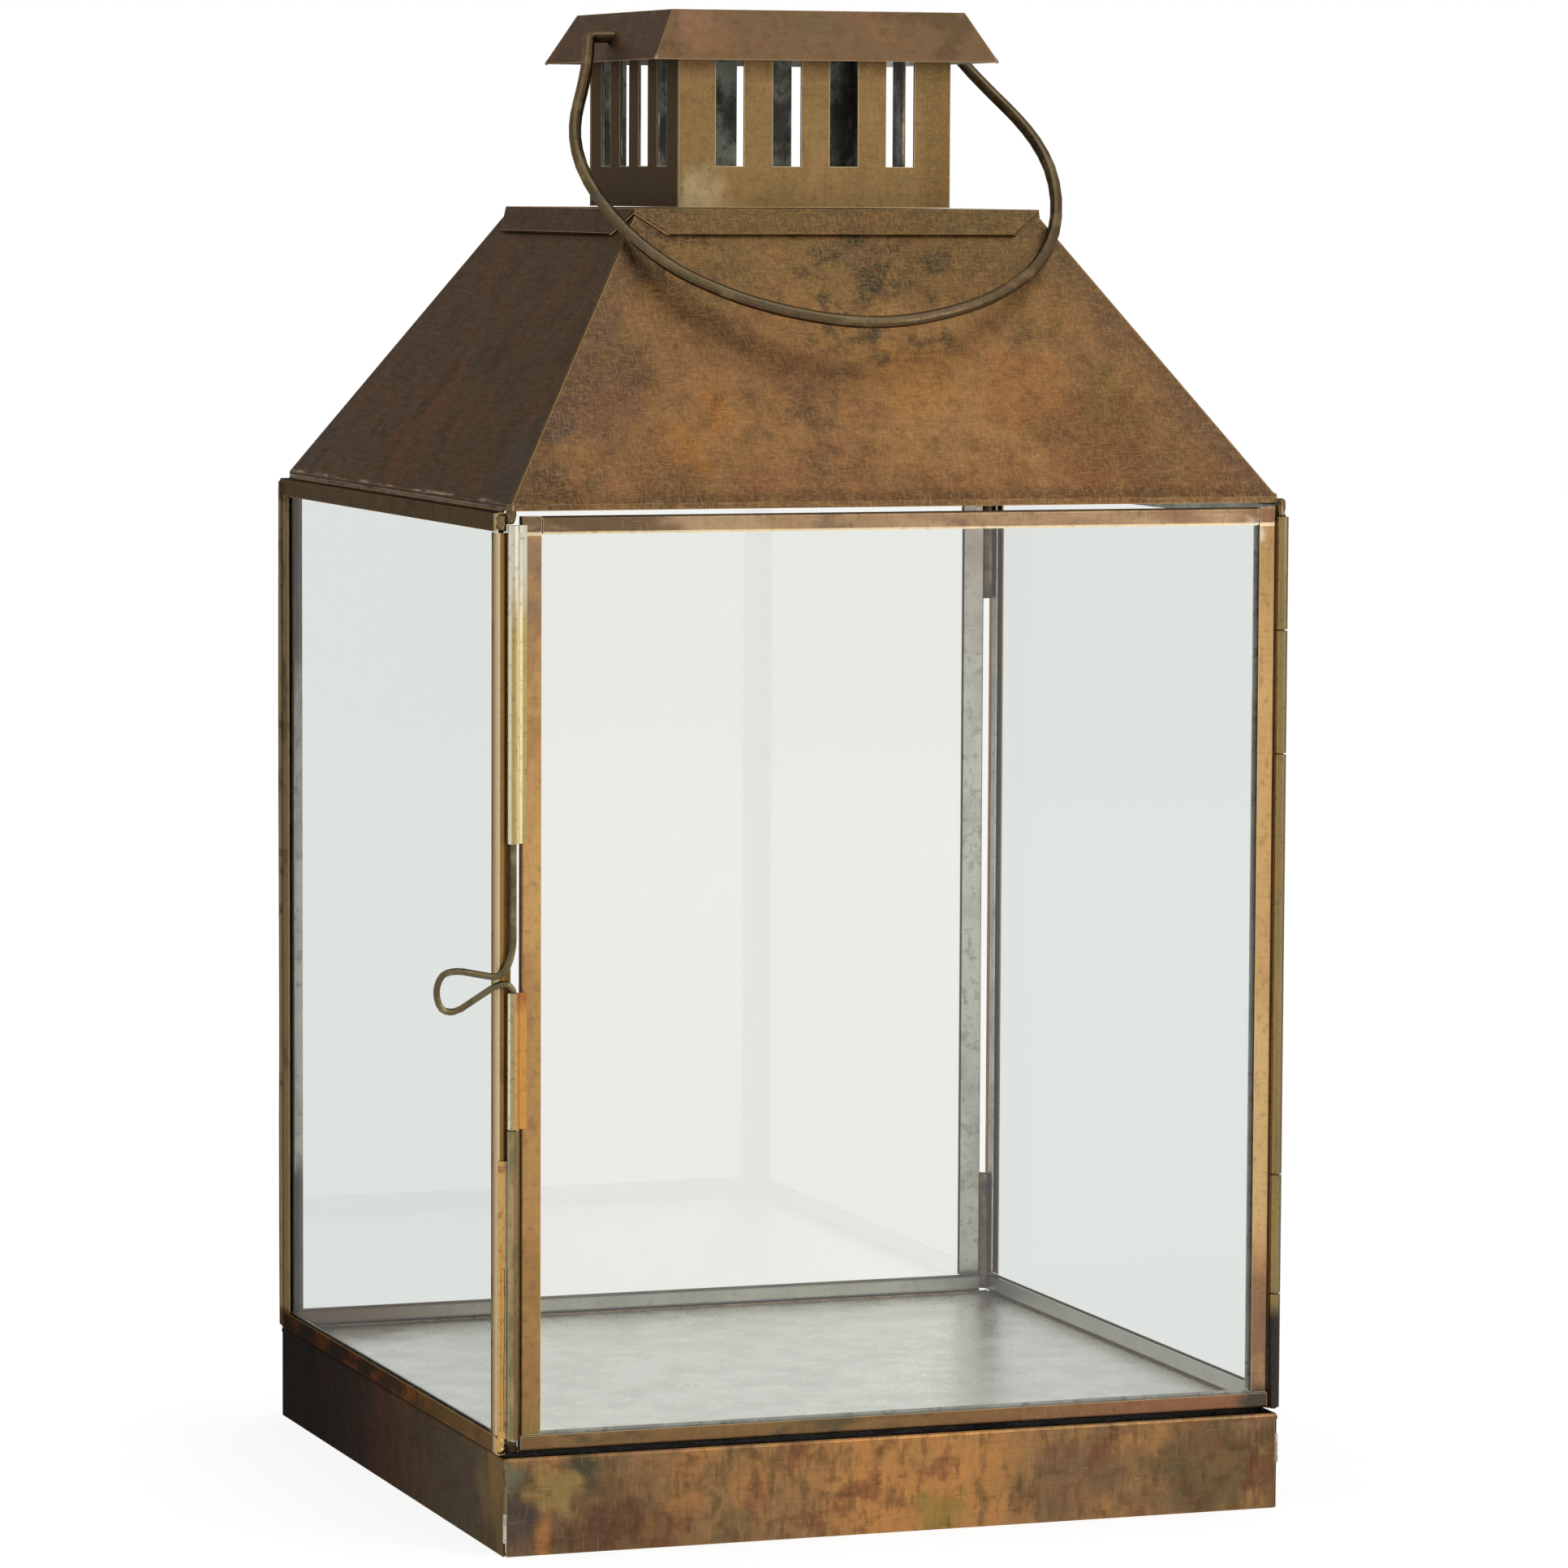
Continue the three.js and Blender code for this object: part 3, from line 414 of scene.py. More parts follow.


# Plinth: the same browned sheet, bent round a corner. The eye sees gold brown with grey-green
# stains at the ends, a clean orange middle and a nearly black left side, partly patina and partly
# painted shade.
def pan_patches(tree, place):
    front = along(tree, place, "Y", -108, -109)
    left = along(tree, place, "X", -108.6, -109.4)
    deep = along(tree, place, "Y", -108, -55)
    ledge = pan_ledge(tree, place)
    return [
        ("#A87644", blotches(tree, place, 22, 0.44, 0.62, offset=1.6), 0.65),
        ("#6B5A3C", blotches(tree, place, 18, 0.52, 0.64, offset=3.9), 0.6),
        ("#B98048", both(tree, front, near(tree, place, (5, -110, 12), 42, 9)), 0.7),
        ("#9C7A4C", blotches(tree, place, 3, 0.5, 0.64, (1, 1, 4), detail=6.0, offset=4.8), 0.45),
        ("#54422F", blotches(tree, place, 3.4, 0.5, 0.64, (1, 1, 3), detail=6.0, offset=7.4), 0.5),
        ("#4A4534", both(tree, front, near(tree, place, (-88, -110, 22), 10, 5)), 0.8),
        ("#4B4334", both(tree, front, near(tree, place, (-108, -110, 16), 13, 5)), 0.85),
        ("#4A3A33", both(tree, front, near(tree, place, (-98, -110, 2), 14, 6)), 0.45),
        ("#4E3A30", both(tree, front, near(tree, place, (-74, -110, 4), 22, 8)), 0.5),
        ("#5C4E38", both(tree, front, near(tree, place, (88, -110, 13), 24, 8)), 0.75),
        ("#4A3C2C", both(tree, front, along(tree, place, "X", 103, 109)), 0.55),
        ("#6B5240", both(tree, front, near(tree, place, (52, -110, 10), 18, 7)), 0.5),
        ("#96804C", both(tree, front, near(tree, place, (-96, -110, 17), 9, 4)), 0.55),
        ("#A87040", both(tree, front, along(tree, place, "X", -102.6, -99.6),
                         along(tree, place, "X", -96, -98.6),
                         along(tree, place, "Z", 14, 7)), 0.7),
        ("#4E342C", both(tree, front, near(tree, place, (-84, -110, 7), 14, 6)), 0.5),
        ("#3E4236", both(tree, front, near(tree, place, (-88, -110, 22.5), 5, 3)), 0.8),
        ("#6C6C58", both(tree, front, near(tree, place, (-110, -110, 22), 9, 4)), 0.75),
        ("#3C3A3C", both(tree, front, near(tree, place, (-108, -110, 9), 10, 4)), 0.75),
        ("#5A3F34", both(tree, front, along(tree, place, "X", 98, 104),
                         blotches(tree, place, 3, 0.46, 0.6, (1, 1, 4), offset=3.3)), 0.6),
        ("#6E4433", blotches(tree, place, 12, 0.56, 0.68, offset=5.2), 0.6),
        ("#7D7138", both(tree, front, near(tree, place, (12, -110, 4), 9, 5)), 0.6),
        ("#4A3722", blotches(tree, place, 4, 0.5, 0.7, detail=6.0, offset=8.6), 0.45),
        ("#3C2E1E", hatching(tree, place, offset=6.6), 0.22),
        ("#C0935C", hatching(tree, place, 0.7, 0.6, 0.76, offset=2.5), 0.2),
        # The left side, darker partly by patina and partly by painted shade, most towards the back,
        # and the ledge under the door, painted black as the shade under the door.
        ("#5C4C33", left, 0.95),
        ("#3C2C20", both(tree, left,
                         blotches(tree, place, 9, 0.46, 0.64, (1, 1, 3), offset=4.7)), 0.7),
        ("#28211B", both(tree, left, deep), 0.8),
        ("#4A2E26", both(tree, left, blotches(tree, place, 11, 0.5, 0.66, offset=9.4)), 0.5),
        ("#34363A", both(tree, left, blotches(tree, place, 10, 0.54, 0.68, offset=12.1)), 0.45),
        ("#32322F", both(tree, left, near(tree, place, (-110, -74, 8), 34, 9)), 0.6),
        ("#6E5A38", both(tree, left, near(tree, place, (-110, -97, 14), 15, 6)), 0.6),
        ("#7E5E38", both(tree, left, near(tree, place, (-110, -103, 22), 10, 4)), 0.6),
        ("#1C1611", ledge, 0.97),
    ]


# Frames: strip brass folded to a channel over the glass. The eye sees a brown gold, long changes
# along the strip, and fold lines rubbed bright.
def frame_patches(tree, place):
    left = along(tree, place, "X", -110.2, -110.8)
    latch_post = both(
        tree,
        along(tree, place, "X", -106, -106.5),
        along(tree, place, "Y", -105.0, -105.6),
    )
    top = along(tree, place, "Z", 273.0, 273.3)
    low_rail = both(tree, left, along(tree, place, "Z", 34, 31))
    return [
        ("#9C7A48", blotches(tree, place, 20, 0.42, 0.62, (1, 1, 2.4), offset=0.7), 0.6),
        ("#5E4A32", blotches(tree, place, 15, 0.5, 0.68, (1, 1, 2.4), offset=2.9), 0.7),
        ("#744C38", blotches(tree, place, 19, 0.56, 0.7, (1, 1, 2), offset=4.4), 0.5),
        ("#3C3022", blotches(tree, place, 2.5, 0.5, 0.72, detail=6.0, offset=7.1), 0.35),
        # The left frame, darker partly by patina and partly by painted shade, and the post that the
        # latch stands at.
        ("#74674F", left, 0.75),
        ("#33281D", both(tree, left, along(tree, place, "Z", 266, 268.4)), 0.8),
        ("#3A2C20", low_rail, 0.9),
        ("#7E4E26", both(tree, low_rail,
                         blotches(tree, place, 9, 0.46, 0.6, (1, 2, 1), offset=4.1)), 0.5),
        ("#6A5030", both(tree, low_rail, along(tree, place, "Y", 0, -95)), 0.7),
        ("#33291E", both(tree, left, blotches(tree, place, 9, 0.54, 0.68, offset=3.1)), 0.6),
        ("#8F6E3C", latch_post, 0.85),
        ("#6A4A28", both(tree, latch_post,
                         blotches(tree, place, 8, 0.5, 0.64, (1, 1, 4), offset=1.1)), 0.6),
        # Painted shade down the right part of the latch post's front.
        ("#4B3620", both(tree, latch_post, along(tree, place, "X", -109.3, -108.3)), 0.55),
        # A painted highlight on the latch post's left edge.
        ("#E8DABC", both(tree, latch_post, along(tree, place, "X", -110.2, -110.5)), 0.9),
        ("#B59F74", both(tree, left, along(tree, place, "Y", -103.6, -104.2)), 0.8),
        # Painted shade on the rails' top faces, under the roof.
        ("#382D20", top, 0.8),
    ]


def door_patches(tree, place):
    top_rail = along(tree, place, "Z", 267.2, 268)
    bottom_rail = along(tree, place, "Z", 32.2, 31.6)
    low = along(tree, place, "Z", 110, 45)
    right = along(tree, place, "X", 100, 102)
    left = along(tree, place, "X", -96, -98)
    head = along(tree, place, "Z", 225, 250)
    return [
        ("#BE955F", blotches(tree, place, 26, 0.4, 0.62, (1, 1, 2.4), offset=0.7), 0.6),
        ("#8F6B3F", blotches(tree, place, 9, 0.5, 0.66, (1, 1, 2), offset=2.9), 0.55),
        ("#A8744C", blotches(tree, place, 12, 0.52, 0.66, (1, 1, 2), offset=8.2), 0.5),
        ("#B59464", both(tree, right, along(tree, place, "Z", 60, 100)), 0.55),
        ("#8F6F4A", both(tree, right, along(tree, place, "Z", 215, 262)), 0.5),
        ("#C4A474", both(tree, right, along(tree, place, "Z", 60, 75),
                         along(tree, place, "Z", 145, 125)), 0.6),
        ("#9A7246", both(tree, left, along(tree, place, "Z", 165, 145)), 0.5),
        ("#84683F", both(tree, left, along(tree, place, "Z", 80, 40)), 0.55),
        ("#8A5F46", both(tree, right, along(tree, place, "Z", 85, 45),
                         blotches(tree, place, 14, 0.3, 0.52, offset=4.4)), 0.8),
        ("#7A6052", both(tree, right, along(tree, place, "Z", 75, 55)), 0.6),
        ("#7A6353", both(tree, left, head, blotches(tree, place, 12, 0.3, 0.55, offset=5.4)), 0.7),
        ("#7D6B3C", both(tree, left, low, blotches(tree, place, 11, 0.44, 0.6, offset=6.4)), 0.6),
        # The rails.
        ("#8F755A", top_rail, 0.85),
        ("#52402F", both(tree, top_rail, along(tree, place, "X", -50, -75)), 0.75),
        ("#7A5540", both(tree, top_rail, along(tree, place, "X", 66, 82)), 0.75),
        ("#A88E6E", both(tree, top_rail,
                         blotches(tree, place, 13, 0.46, 0.62, (3, 1, 1), offset=1.9)), 0.7),
        ("#6A5848", both(tree, top_rail,
                         blotches(tree, place, 6, 0.52, 0.66, (2, 1, 1), offset=5.9)), 0.6),
        ("#E2CFA6", both(tree, along(tree, place, "Z", 268.5, 268.1),
                         along(tree, place, "Z", 267.2, 267.5)), 0.8),
        ("#D9D2C4", near(tree, place, (102.5, -106.8, 266), 5, 3), 0.45),
        ("#725739", bottom_rail, 0.85),
        ("#8A5E48", both(tree, bottom_rail, along(tree, place, "X", 0, 90)), 0.7),
        ("#50493A", both(tree, bottom_rail,
                         blotches(tree, place, 9, 0.52, 0.64, (2, 1, 1), offset=8.1)), 0.7),
        ("#3E3C36", near(tree, place, (105.5, -106.8, 28.5), 7, 2), 0.85),
        ("#5A452C", blotches(tree, place, 2.5, 0.5, 0.72, detail=6.0, offset=7.1), 0.35),
        ("#4A3A26", hatching(tree, place, offset=7.1), 0.12),
        ("#DCBE8C", hatching(tree, place, 0.7, 0.6, 0.76, offset=3.1), 0.15),
        # Painted shade on the door's left edge, the side face of its latch stile.
        ("#4E3E2A", along(tree, place, "X", -104.2, -104.4), 0.7),
    ]


# Chimney: rolled brass left matt and evenly browned. The eye sees an olive gold with a fine grain,
# dark inside the slots.
def chimney_patches(tree, place):
    left = left_side(tree, place, CAP_TOP)
    high = along(tree, place, "Z", 386, 392)
    return [
        ("#91724A", blotches(tree, place, 26, 0.42, 0.64, offset=1.2), 0.5),
        ("#6D5436", blotches(tree, place, 12, 0.54, 0.68, offset=3.7), 0.5),
        ("#AC9A74", near(tree, place, (-33, -39, 354), 10, 4), 0.65),
        ("#6E5138", both(tree, high, blotches(tree, place, 9, 0.36, 0.58, offset=2.2)), 0.7),
        ("#67502F", along(tree, place, "X", 28, 34), 0.6),
        ("#4D3D28", blotches(tree, place, 1.5, 0.5, 0.72, detail=6.0, offset=5.1), 0.35),
        ("#A8854E", blotches(tree, place, 0.8, 0.5, 0.7, detail=2.0, offset=4.1), 0.25),
        # The left side, darker partly by patina and partly by painted shade.
        ("#40372D", left, 0.93),
        ("#4B3C2E", both(tree, left, blotches(tree, place, 6, 0.5, 0.66, offset=3.9)), 0.5),
    ]


# Cap: rolled brass, browned like the roof. The eye sees a dull brown with pinker, heat-touched
# patches and pale rubbed edges.
def cap_patches(tree, place):
    left = left_side(tree, place, CAP_TOP)
    return [
        ("#93694A", blotches(tree, place, 14, 0.46, 0.66, offset=2.6), 0.5),
        ("#5F4A36", blotches(tree, place, 16, 0.48, 0.64, offset=4.9), 0.6),
        ("#6F6246", blotches(tree, place, 12, 0.56, 0.68, offset=7.9), 0.5),
        ("#A97A60", near(tree, place, (-36, -46, 402), 9, 4), 0.4),
        ("#3F3224", blotches(tree, place, 3, 0.5, 0.7, detail=6.0, offset=6.4), 0.25),
        ("#3F3224", hatching(tree, place, 0.8, offset=6.4), 0.15),
        ("#B58F66", hatching(tree, place, 0.6, 0.6, 0.76, offset=1.4), 0.2),
        # The left side, darker partly by patina and partly by painted shade.
        ("#463A31", left, 0.9),
        ("#6A4A3A", both(tree, left,
                         blotches(tree, place, 7, 0.5, 0.64, (1, 1, 3), offset=5.9)), 0.55),
    ]


# Hinge and latch tubes: drawn brass tube, handled bright. The eye sees an olive gold, going grey
# where solder has run. Its pale lines are painted highlights and its dark side lines painted shade.
def tube_patches(tree, place):
    around = aslant(tree, place)
    latch = along(tree, place, "X", 0, -5)
    hinge = along(tree, place, "X", 0, 5)
    lower = both(tree, latch, along(tree, place, "Z", 112.6, 112.2))
    knuckle = both(tree, latch, along(tree, place, "Z", 112.2, 112.6),
                   along(tree, place, "Z", 152, 149))
    upper = both(tree, latch, along(tree, place, "Z", 149, 152))
    tinned_top = both(tree, latch, along(tree, place, "Z", 240, 262))
    leaf = both(tree, lower, along(tree, place, "X", -108.7, -109.0))
    fillet_highlight = both(tree, ramp(tree, around, -64.0, -63.6), ramp(tree, around, -62.4, -62.8))
    return [
        ("#CDB980", blotches(tree, place, 12, 0.48, 0.66, (1, 1, 4), offset=0.9), 0.5),
        ("#84734A", blotches(tree, place, 10, 0.48, 0.64, (1, 1, 3), offset=3.5), 0.7),
        # Painted highlights: a pale line down the upper tube's left, a bright one where it meets
        # its leaf.
        ("#DDD5BC", both(tree, upper, ramp(tree, around, -65.1, -65.6)), 0.8),
        ("#F6E7B6", both(tree, upper, fillet_highlight), 0.8),
        ("#B39860", both(tree, upper, ramp(tree, around, -62.5, -62.2)), 0.7),
        ("#CFCCBF", tinned_top, 0.75),
        ("#A8946E", knuckle, 0.8),
        # A painted highlight down the knuckle's left.
        ("#E0DAC4", both(tree, knuckle, ramp(tree, around, -65.4, -65.8)), 0.8),
        ("#C98A3E", both(tree, knuckle, ramp(tree, around, -64.4, -64.0)), 0.85),
        ("#8E4A34", both(tree, knuckle, ramp(tree, around, -64.4, -64.0),
                         along(tree, place, "Z", 142, 147)), 0.6),
        ("#A08C62", lower, 0.85),
        ("#565442", both(tree, lower,
                         blotches(tree, place, 7, 0.46, 0.62, (1, 1, 3), offset=5.5)), 0.6),
        # A painted highlight down the lower tube's left; red-brown patina, deepened as painted
        # shade, right.
        ("#B0B2A4", both(tree, lower, ramp(tree, around, -65.9, -66.2)), 0.7),
        ("#6B4B30", both(tree, lower, ramp(tree, around, -64.9, -64.4)), 0.6),
        ("#BE9450", leaf, 0.9),
        ("#8E4E34", both(tree, leaf, blotches(tree, place, 6, 0.54, 0.66, offset=2.5)), 0.7),
        # The hinge's tubes: a painted highlight down their left, painted shade down their right.
        ("#7C6946", hinge, 0.75),
        ("#B8924F", both(tree, hinge, ramp(tree, around, 138.9, 138.5)), 0.6),
        ("#54493A", both(tree, hinge, ramp(tree, around, 140.1, 140.6)), 0.7),
        ("#2C292B", both(tree, hinge, along(tree, place, "Z", 57, 51)), 0.94),
        ("#4F4028", blotches(tree, place, 1.6, 0.52, 0.7, detail=6.0, offset=6.9), 0.35),
    ]


# Bail: drawn brass wire, bent cold and browned. The eye sees a dark olive brown with grey-green
# specks, and a painted highlight along its front and top.
FRONT_AND_UP = (-0.25, -0.78, 0.57)


def painted_front_highlight(tree):
    """Where a wire's skin faces the front and up: a painted highlight."""
    facing = add(tree, "NewGeometry").outputs["Normal"]
    match = add(tree, "VectorMath", {0: facing, 1: FRONT_AND_UP}, operation="DOT_PRODUCT")
    mask = add(tree, "MapRange",
               {"Value": match.outputs["Value"], "From Min": 0.86, "From Max": 0.97})
    return mask.outputs["Result"]


def wire_patches(tree, place):
    return [
        ("#857452", blotches(tree, place, 9, 0.5, 0.66, offset=1.8), 0.6),
        ("#4A3E2C", blotches(tree, place, 7, 0.52, 0.66, offset=4.1), 0.6),
        ("#5E4434", blotches(tree, place, 12, 0.54, 0.68, offset=8.1), 0.5),
        ("#8E7C62", painted_front_highlight(tree), 0.5),
        ("#4C5048", blotches(tree, place, 5, 0.58, 0.66, offset=3.6), 0.5),
        ("#3A3024", blotches(tree, place, 1.4, 0.56, 0.72, detail=8.0, offset=6.2), 0.45),
    ]


# Latch: thinner drawn brass wire, handled daily. The eye sees a glossier, yellower olive.
def latch_wire_patches(tree, place):
    return [
        ("#8C8062", blotches(tree, place, 7, 0.5, 0.66, offset=1.3), 0.6),
        ("#4E4835", blotches(tree, place, 6, 0.5, 0.66, offset=4.6), 0.6),
        ("#3E3428", blotches(tree, place, 1.2, 0.56, 0.72, detail=8.0, offset=6.2), 0.4),
    ]


# Masks of the faces that are tinned, and layers of what has stained the tin.
def frame_inside(tree, place):
    return both(
        tree,
        ramp(tree, spread(tree, place, "X"), 109.5, 109.3),
        along(tree, place, "Y", 105.6, 105.4),
        along(tree, place, "Y", -104.9, -104.7),
        along(tree, place, "Z", 273.3, 273.1),
        along(tree, place, "Z", 26.6, 26.8),
    )


def frame_shaded_rim(tree, place):
    """Painted shade on the rails' top faces, just under the roof, and the left rail on the plinth.
    """
    low = both(tree, along(tree, place, "Z", 33, 31.7), along(tree, place, "X", -110.2, -110.8),
               along(tree, place, "Y", -110, 120))
    return either(tree, along(tree, place, "Z", 273.1, 273.4), low)


def frame_stains_and_shadow(tree, place):
    """Darker tin at the rear left corner, at its head and its foot.

    The back rail has dark lines along its top edge and a painted shadow along its foot.
    """
    back = along(tree, place, "Y", 95, 98)
    corner = both(tree, back, along(tree, place, "X", -98, -101))
    head = both(tree, corner, along(tree, place, "Z", 210, 228))
    foot = both(tree, corner, along(tree, place, "Z", 77, 70))
    brown = both(tree, corner, blotches(tree, place, 8, 0.46, 0.6, (1, 1, 3), offset=2.8),
                 along(tree, place, "Z", 190, 215))
    rail = both(tree, back, along(tree, place, "Z", 34, 32))
    lines = either(tree, along(tree, place, "Z", 30.6, 31.2), along(tree, place, "Z", 27.8, 27.2))
    right = both(tree, back, along(tree, place, "X", 90, 98), along(tree, place, "Z", 190, 262))
    return [
        ("#857368", right, 0.65),
        ("#504B43", head, 0.9),
        ("#6E543C", brown, 0.7),
        ("#3A3834", foot, 0.9),
        ("#8A887C", rail, 0.65),
        ("#664A32", both(tree, rail, along(tree, place, "X", -30, -100)), 0.9),
        ("#DAD8CE", both(tree, along(tree, place, "Z", 34, 32),
                         along(tree, place, "X", 107, 108)), 0.7),
        # Dark lines along the back rail's top edge, and a painted shadow along its foot.
        ("#2E2A26", both(tree, rail, lines), 0.75),
    ]


def door_inside(tree, place):
    return both(tree, along(tree, place, "Y", -105.6, -105.2),
                along(tree, place, "X", -104.4, -104.2))


def pan_inside(tree, place):
    front = along(tree, place, "Y", -101.6, -101.0)
    under = along(tree, place, "Z", 25.2, 25.0)
    return both(tree, either(tree, front, under),
                ramp(tree, plan_distance(tree, place), 109.0, 108.6))


def pan_stains_and_shadow(tree, place):
    """Darker floor at the rear left corner, and a painted shadow along the foot of the back rail.
    """
    foot = both(tree, along(tree, place, "Y", 97, 103), along(tree, place, "X", 20, -80))
    return [("#8C8478", near(tree, place, (-100, 92, 25), 32, 6), 0.6), ("#6E6254", foot, 0.7)]


def chimney_stains(tree, place):
    """Soot on the tin, in clouds drawn out upward."""
    soot = blotches(tree, place, 12, 0.4, 0.56, (1, 1, 1.5), detail=5.0, offset=3.7)
    return [("#2E2C27", soot, 0.75)]


def chimney_inside(tree, place):
    return ramp(tree, plan_distance(tree, place), 38.9, 38.7)


# How far the sloping walls of the roof and the cap come in for each mm of height, and the plan
# distance in mm that their outer faces would have at height 0. The roof is measured at 275.4 mm and
# the cap at 391.7 mm.
ROOF_LEAN = math.tan(math.radians(33.78))
ROOF_OUTER = 107.85 + ROOF_LEAN * 275.4
CAP_LEAN = (49.45 - 42.1) / 13.6
CAP_OUTER = 49.45 + CAP_LEAN * 391.7


def roof_inside(tree, place):
    within = both(tree, ramp(tree, plan_distance(tree, place), 107.7, 107.5),
                  along(tree, place, "Z", ROOF_TOP, ROOF_TOP - 0.2))
    under = ramp(tree, plan_distance(tree, place, ROOF_LEAN), ROOF_OUTER - 0.6, ROOF_OUTER - 0.7)
    return both(tree, within, under)


def cap_inside(tree, place):
    below = along(tree, place, "Z", CAP_TOP, CAP_TOP - 0.2)
    return both(tree, below,
                ramp(tree, plan_distance(tree, place, CAP_LEAN), CAP_OUTER - 0.5, CAP_OUTER - 0.6))


frame_finish = brass("folded_brass_channel_frames", "#86673F", frame_patches,
                     edge=("#BDA06C", 0.3), inside=frame_inside, shaded_rim=frame_shaded_rim,
                     stains=frame_stains_and_shadow, worn=0.72)
finishes = {
    "roof_brass": brass("rolled_brass_browned_roof", "#866543", roof_patches,
                        edge=("#A98A5A", 0.5), inside=roof_inside),
    "pan_brass": brass("rolled_brass_browned_plinth", "#876746", pan_patches,
                       edge=("#967A54", 0.4), inside=pan_inside, tin_ground="#F4F3EE",
                       worn=0.18, roughness=(0.24, 0.4), shaded_rim=pan_shaded_rim, stains=pan_stains_and_shadow),
    "frame_brass": frame_finish,
    "dark_brass": frame_finish,
    "chimney_brass": brass("rolled_brass_matt_chimney", "#7C6440", chimney_patches,
                           edge=("#D8C49A", 0.4), inside=chimney_inside, roughness=(0.47, 0.56),
                           bump=0.05, stains=chimney_stains),
    "cap_brass": brass("rolled_brass_browned_cap", "#7C6246", cap_patches,
                       edge=("#B0956A", 0.4), inside=cap_inside),
    "tube_brass": brass("drawn_brass_tube", "#A8935F", tube_patches, roughness=(0.2, 0.36),
                        bump=0.08, tint=RUBBED_TINT),
    "wire_brass": brass("drawn_brass_wire_browned", "#5A4A34", wire_patches,
                        roughness=(0.28, 0.48), bump=0.1),
}
door_finish = brass("folded_brass_channel_door", "#AE8856", door_patches,
                    edge=("#E3CFA4", 0.3), inside=door_inside, dull_tin=0.6)
latch_finish = brass("drawn_brass_wire_rubbed", "#655A40", latch_wire_patches,
                     roughness=(0.22, 0.4), bump=0.1, tint=RUBBED_TINT)


def window_glass(name, colour, index):
    """Float glass, cut from a clear sheet: it is seen by its edges and a faint grey-green."""
    material, tree = new_material(name)
    glass = add(
        tree,
        "BsdfPrincipled",
        {
            "Base Color": rgb(colour),
            "Roughness": 0.0,
            "IOR": index,
            "Transmission Weight": 1.0,
        },
    )
    # Light passes straight through on its way to what the pane would shade.
    clear = add(tree, "BsdfTransparent", {"Color": (0.96, 0.97, 0.96, 1)})
    rays = add(tree, "LightPath")
    shown = add(tree, "MixShader", {0: rays.outputs["Is Shadow Ray"]})
    tree.links.new(glass.outputs[0], shown.inputs[1])
    tree.links.new(clear.outputs[0], shown.inputs[2])
    add(tree, "OutputMaterial", {"Surface": shown.outputs[0]})
    return material


GLASS_INDEX = 1.52
# The side panes are seen at a low angle, where they would mirror the white room too strongly, so
# they have a lower index than glass, and a deeper tint instead.
SIDE_INDEX = 1.05
finishes["pane_glass"] = window_glass("float_glass_clear", "#F2F3F1", GLASS_INDEX)
side_glass = window_glass("float_glass_side_panes", "#E7EAE9", SIDE_INDEX)
for name, node in nodes.items():
    slot = node.data.materials[0].name
    if name == "latch_pin":
        node.data.materials[0] = latch_finish
    elif name in ("left_glass", "right_glass"):
        node.data.materials[0] = side_glass
    elif name.startswith("door_") and slot in ("frame_brass", "dark_brass"):
        node.data.materials[0] = door_finish
    else:
        node.data.materials[0] = finishes[slot]


# Solder: tin alloy melted into the joints and left as it ran. The eye sees small dull grey beads,
# brown where the patina took and black where flux burned.
def solder_patches(tree, place):
    return [
        ("#8C8270", blotches(tree, place, 4, 0.42, 0.6, offset=1.7), 0.7),
        ("#6F5A3E", blotches(tree, place, 6, 0.5, 0.64, offset=4.9), 0.6),
        ("#5A5248", blotches(tree, place, 1.2, 0.54, 0.68, detail=6.0, offset=8.3), 0.5),
    ]


def browned_patches(tree, place):
    return [
        ("#5A4A32", blotches(tree, place, 4, 0.42, 0.6, offset=1.7), 0.7),
        ("#332A20", blotches(tree, place, 3, 0.5, 0.64, offset=4.9), 0.6),
    ]


grey = brass("soft_solder_run", "#BDB7A8", solder_patches, roughness=(0.3, 0.5), bump=0.3)
browned = brass("soft_solder_browned", "#766448", browned_patches, roughness=(0.3, 0.5), bump=0.3)
black = brass("soft_solder_flux_black", "#2E261D", browned_patches, roughness=(0.4, 0.6), bump=0.3)
as_tube = finishes["tube_brass"]
